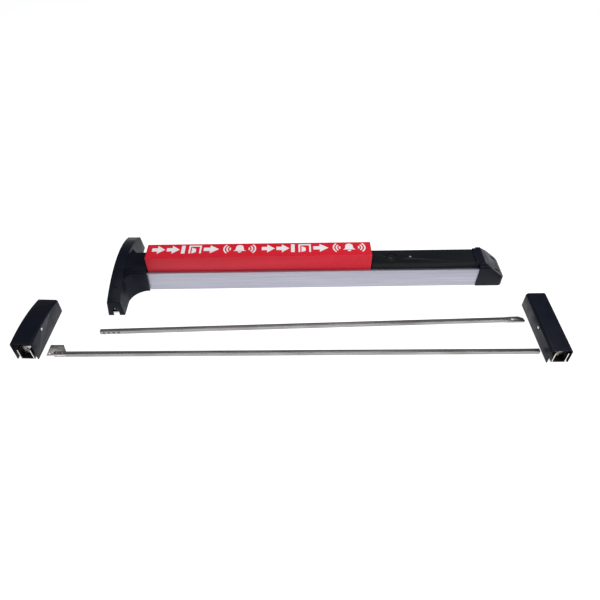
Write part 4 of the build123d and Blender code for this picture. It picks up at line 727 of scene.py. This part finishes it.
def springs():
    """The return springs and the two latch springs; each latch spring lies along its bolt joint's axis."""
    low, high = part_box("return_springs")
    length = high.z - low.z
    reach = RETURN_RADIUS + RETURN_WIRE / 2
    for row, x in enumerate((low.x + reach, high.x - reach)):
        for column, y in enumerate((low.y + reach, high.y - reach)):
            name = f"return_spring_{2 * row + column + 1}"
            piece = coil(name, RETURN_RADIUS, RETURN_WIRE, SPRING_TURNS, length, WIRE, "bar")
            piece.data.transform(Matrix.Translation((x, y, low.z)))
            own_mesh(piece)
            if row == 0 and column == 0:
                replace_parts(piece, "return_springs")
    for side in ("top", "bottom"):
        node = side + "_latch_spring"
        joint = next(row for row in frame["joints"] if row["name"] == side + "_bolt_retract")
        inward = Vector(joint["axis"]).normalized()
        low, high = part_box(node)
        centre = (low + high) / 2
        length = LATCH_SPRING_LENGTH
        piece = coil(node + "_coil", LATCH_SPRING_RADIUS, LATCH_SPRING_WIRE, SPRING_TURNS, length,
                     WIRE, side + "_case")
        turned = Vector((0, 0, 1)).rotation_difference(-inward).to_matrix().to_4x4()
        start = centre + inward * length / 2
        piece.data.transform(Matrix.Translation(start) @ turned)
        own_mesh(piece)
        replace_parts(piece, node)


# ================================================================ studio
def studio_floor():
    look = Look("floor_white")
    look.shader.inputs["Specular IOR Level"].default_value = 0.1
    look.shader.inputs["Emission Color"].default_value = (1.0, 1.0, 1.0, 1.0)
    look.shader.inputs["Emission Strength"].default_value = FLOOR_GLOW
    look.colour(look.between(look.noise(3, detail=3), (0.33, 0.33, 0.335), (0.37, 0.37, 0.375)))
    look.roughness(look.span(look.noise(8, detail=3), 0.3, 0.7, 0.85, 0.95))
    mesh = bpy.data.meshes.new("floor")
    half = FLOOR_HALF
    level = cad_bounds[0][2] - FLOOR_DROP
    corners = [(-half, -half, level), (half, -half, level), (half, half, level), (-half, half, level)]
    mesh.from_pydata(corners, [], [(0, 1, 2, 3)])
    mesh.materials.append(look.material)
    floor = bpy.data.objects.new("floor", mesh)
    bpy.context.scene.collection.objects.link(floor)


def soft_light(name, place, target, size, power, colour):
    """A square soft box that faces a target."""
    lamp = bpy.data.lights.new(name, "AREA")
    lamp.shape = "RECTANGLE"
    lamp.size = size[0]
    lamp.size_y = size[1]
    lamp.energy = power
    lamp.color = colour
    holder = bpy.data.objects.new(name, lamp)
    bpy.context.scene.collection.objects.link(holder)
    holder.location = place
    holder.rotation_euler = (Vector(target) - Vector(place)).to_track_quat("-Z", "Y").to_euler()


def studio():
    """Soft overhead light with a stronger side from the right, and a dim room."""
    world = bpy.data.worlds.new("studio")
    world.use_nodes = True
    world.node_tree.nodes["Background"].inputs["Color"].default_value = (0.80, 0.85, 1.0, 1.0)
    world.node_tree.nodes["Background"].inputs["Strength"].default_value = ROOM_STRENGTH
    bpy.context.scene.world = world
    bpy.context.scene.view_settings.view_transform = "Standard"
    middle = (0.4, 0.0, 0.0)
    soft_light("overhead", (0.45, -0.10, 1.9), middle, (2.6, 1.4), OVERHEAD_POWER, (1.0, 1.0, 1.0))
    soft_light("right_side", (1.9, -0.7, 1.2), middle, (1.0, 1.0), RIGHT_POWER, (1.0, 0.98, 0.96))
    soft_light("front", (0.5, -2.0, 0.9), middle, (2.0, 0.6), FRONT_POWER, (0.96, 0.98, 1.0))


def camera():
    """The camera at its measured place."""
    pitch = radians(CAMERA_PITCH)
    turned = Matrix.Rotation(radians(CAMERA_YAW), 3, "Z")
    forward = turned @ Vector((0, cos(pitch), -sin(pitch)))
    level_right = turned @ Vector((1, 0, 0))
    level_up = level_right.cross(forward)
    roll = radians(CAMERA_ROLL)
    right = level_right * cos(roll) + level_up * sin(roll)
    upward = level_up * cos(roll) - level_right * sin(roll)
    basis = Matrix((right, upward, -forward)).transposed().to_4x4()
    lens = bpy.data.cameras.new("camera")
    lens.lens = CAMERA_LENS
    lens.sensor_width = CAMERA_SENSOR
    holder = bpy.data.objects.new("camera", lens)
    bpy.context.scene.collection.objects.link(holder)
    holder.matrix_world = Matrix.Translation(CAMERA_PLACE) @ basis
    bpy.context.scene.camera = holder


covers()
bar_outside()
lock_face()
rods()
latch_works()
kept_works()
springs()
studio_floor()
studio()
camera()
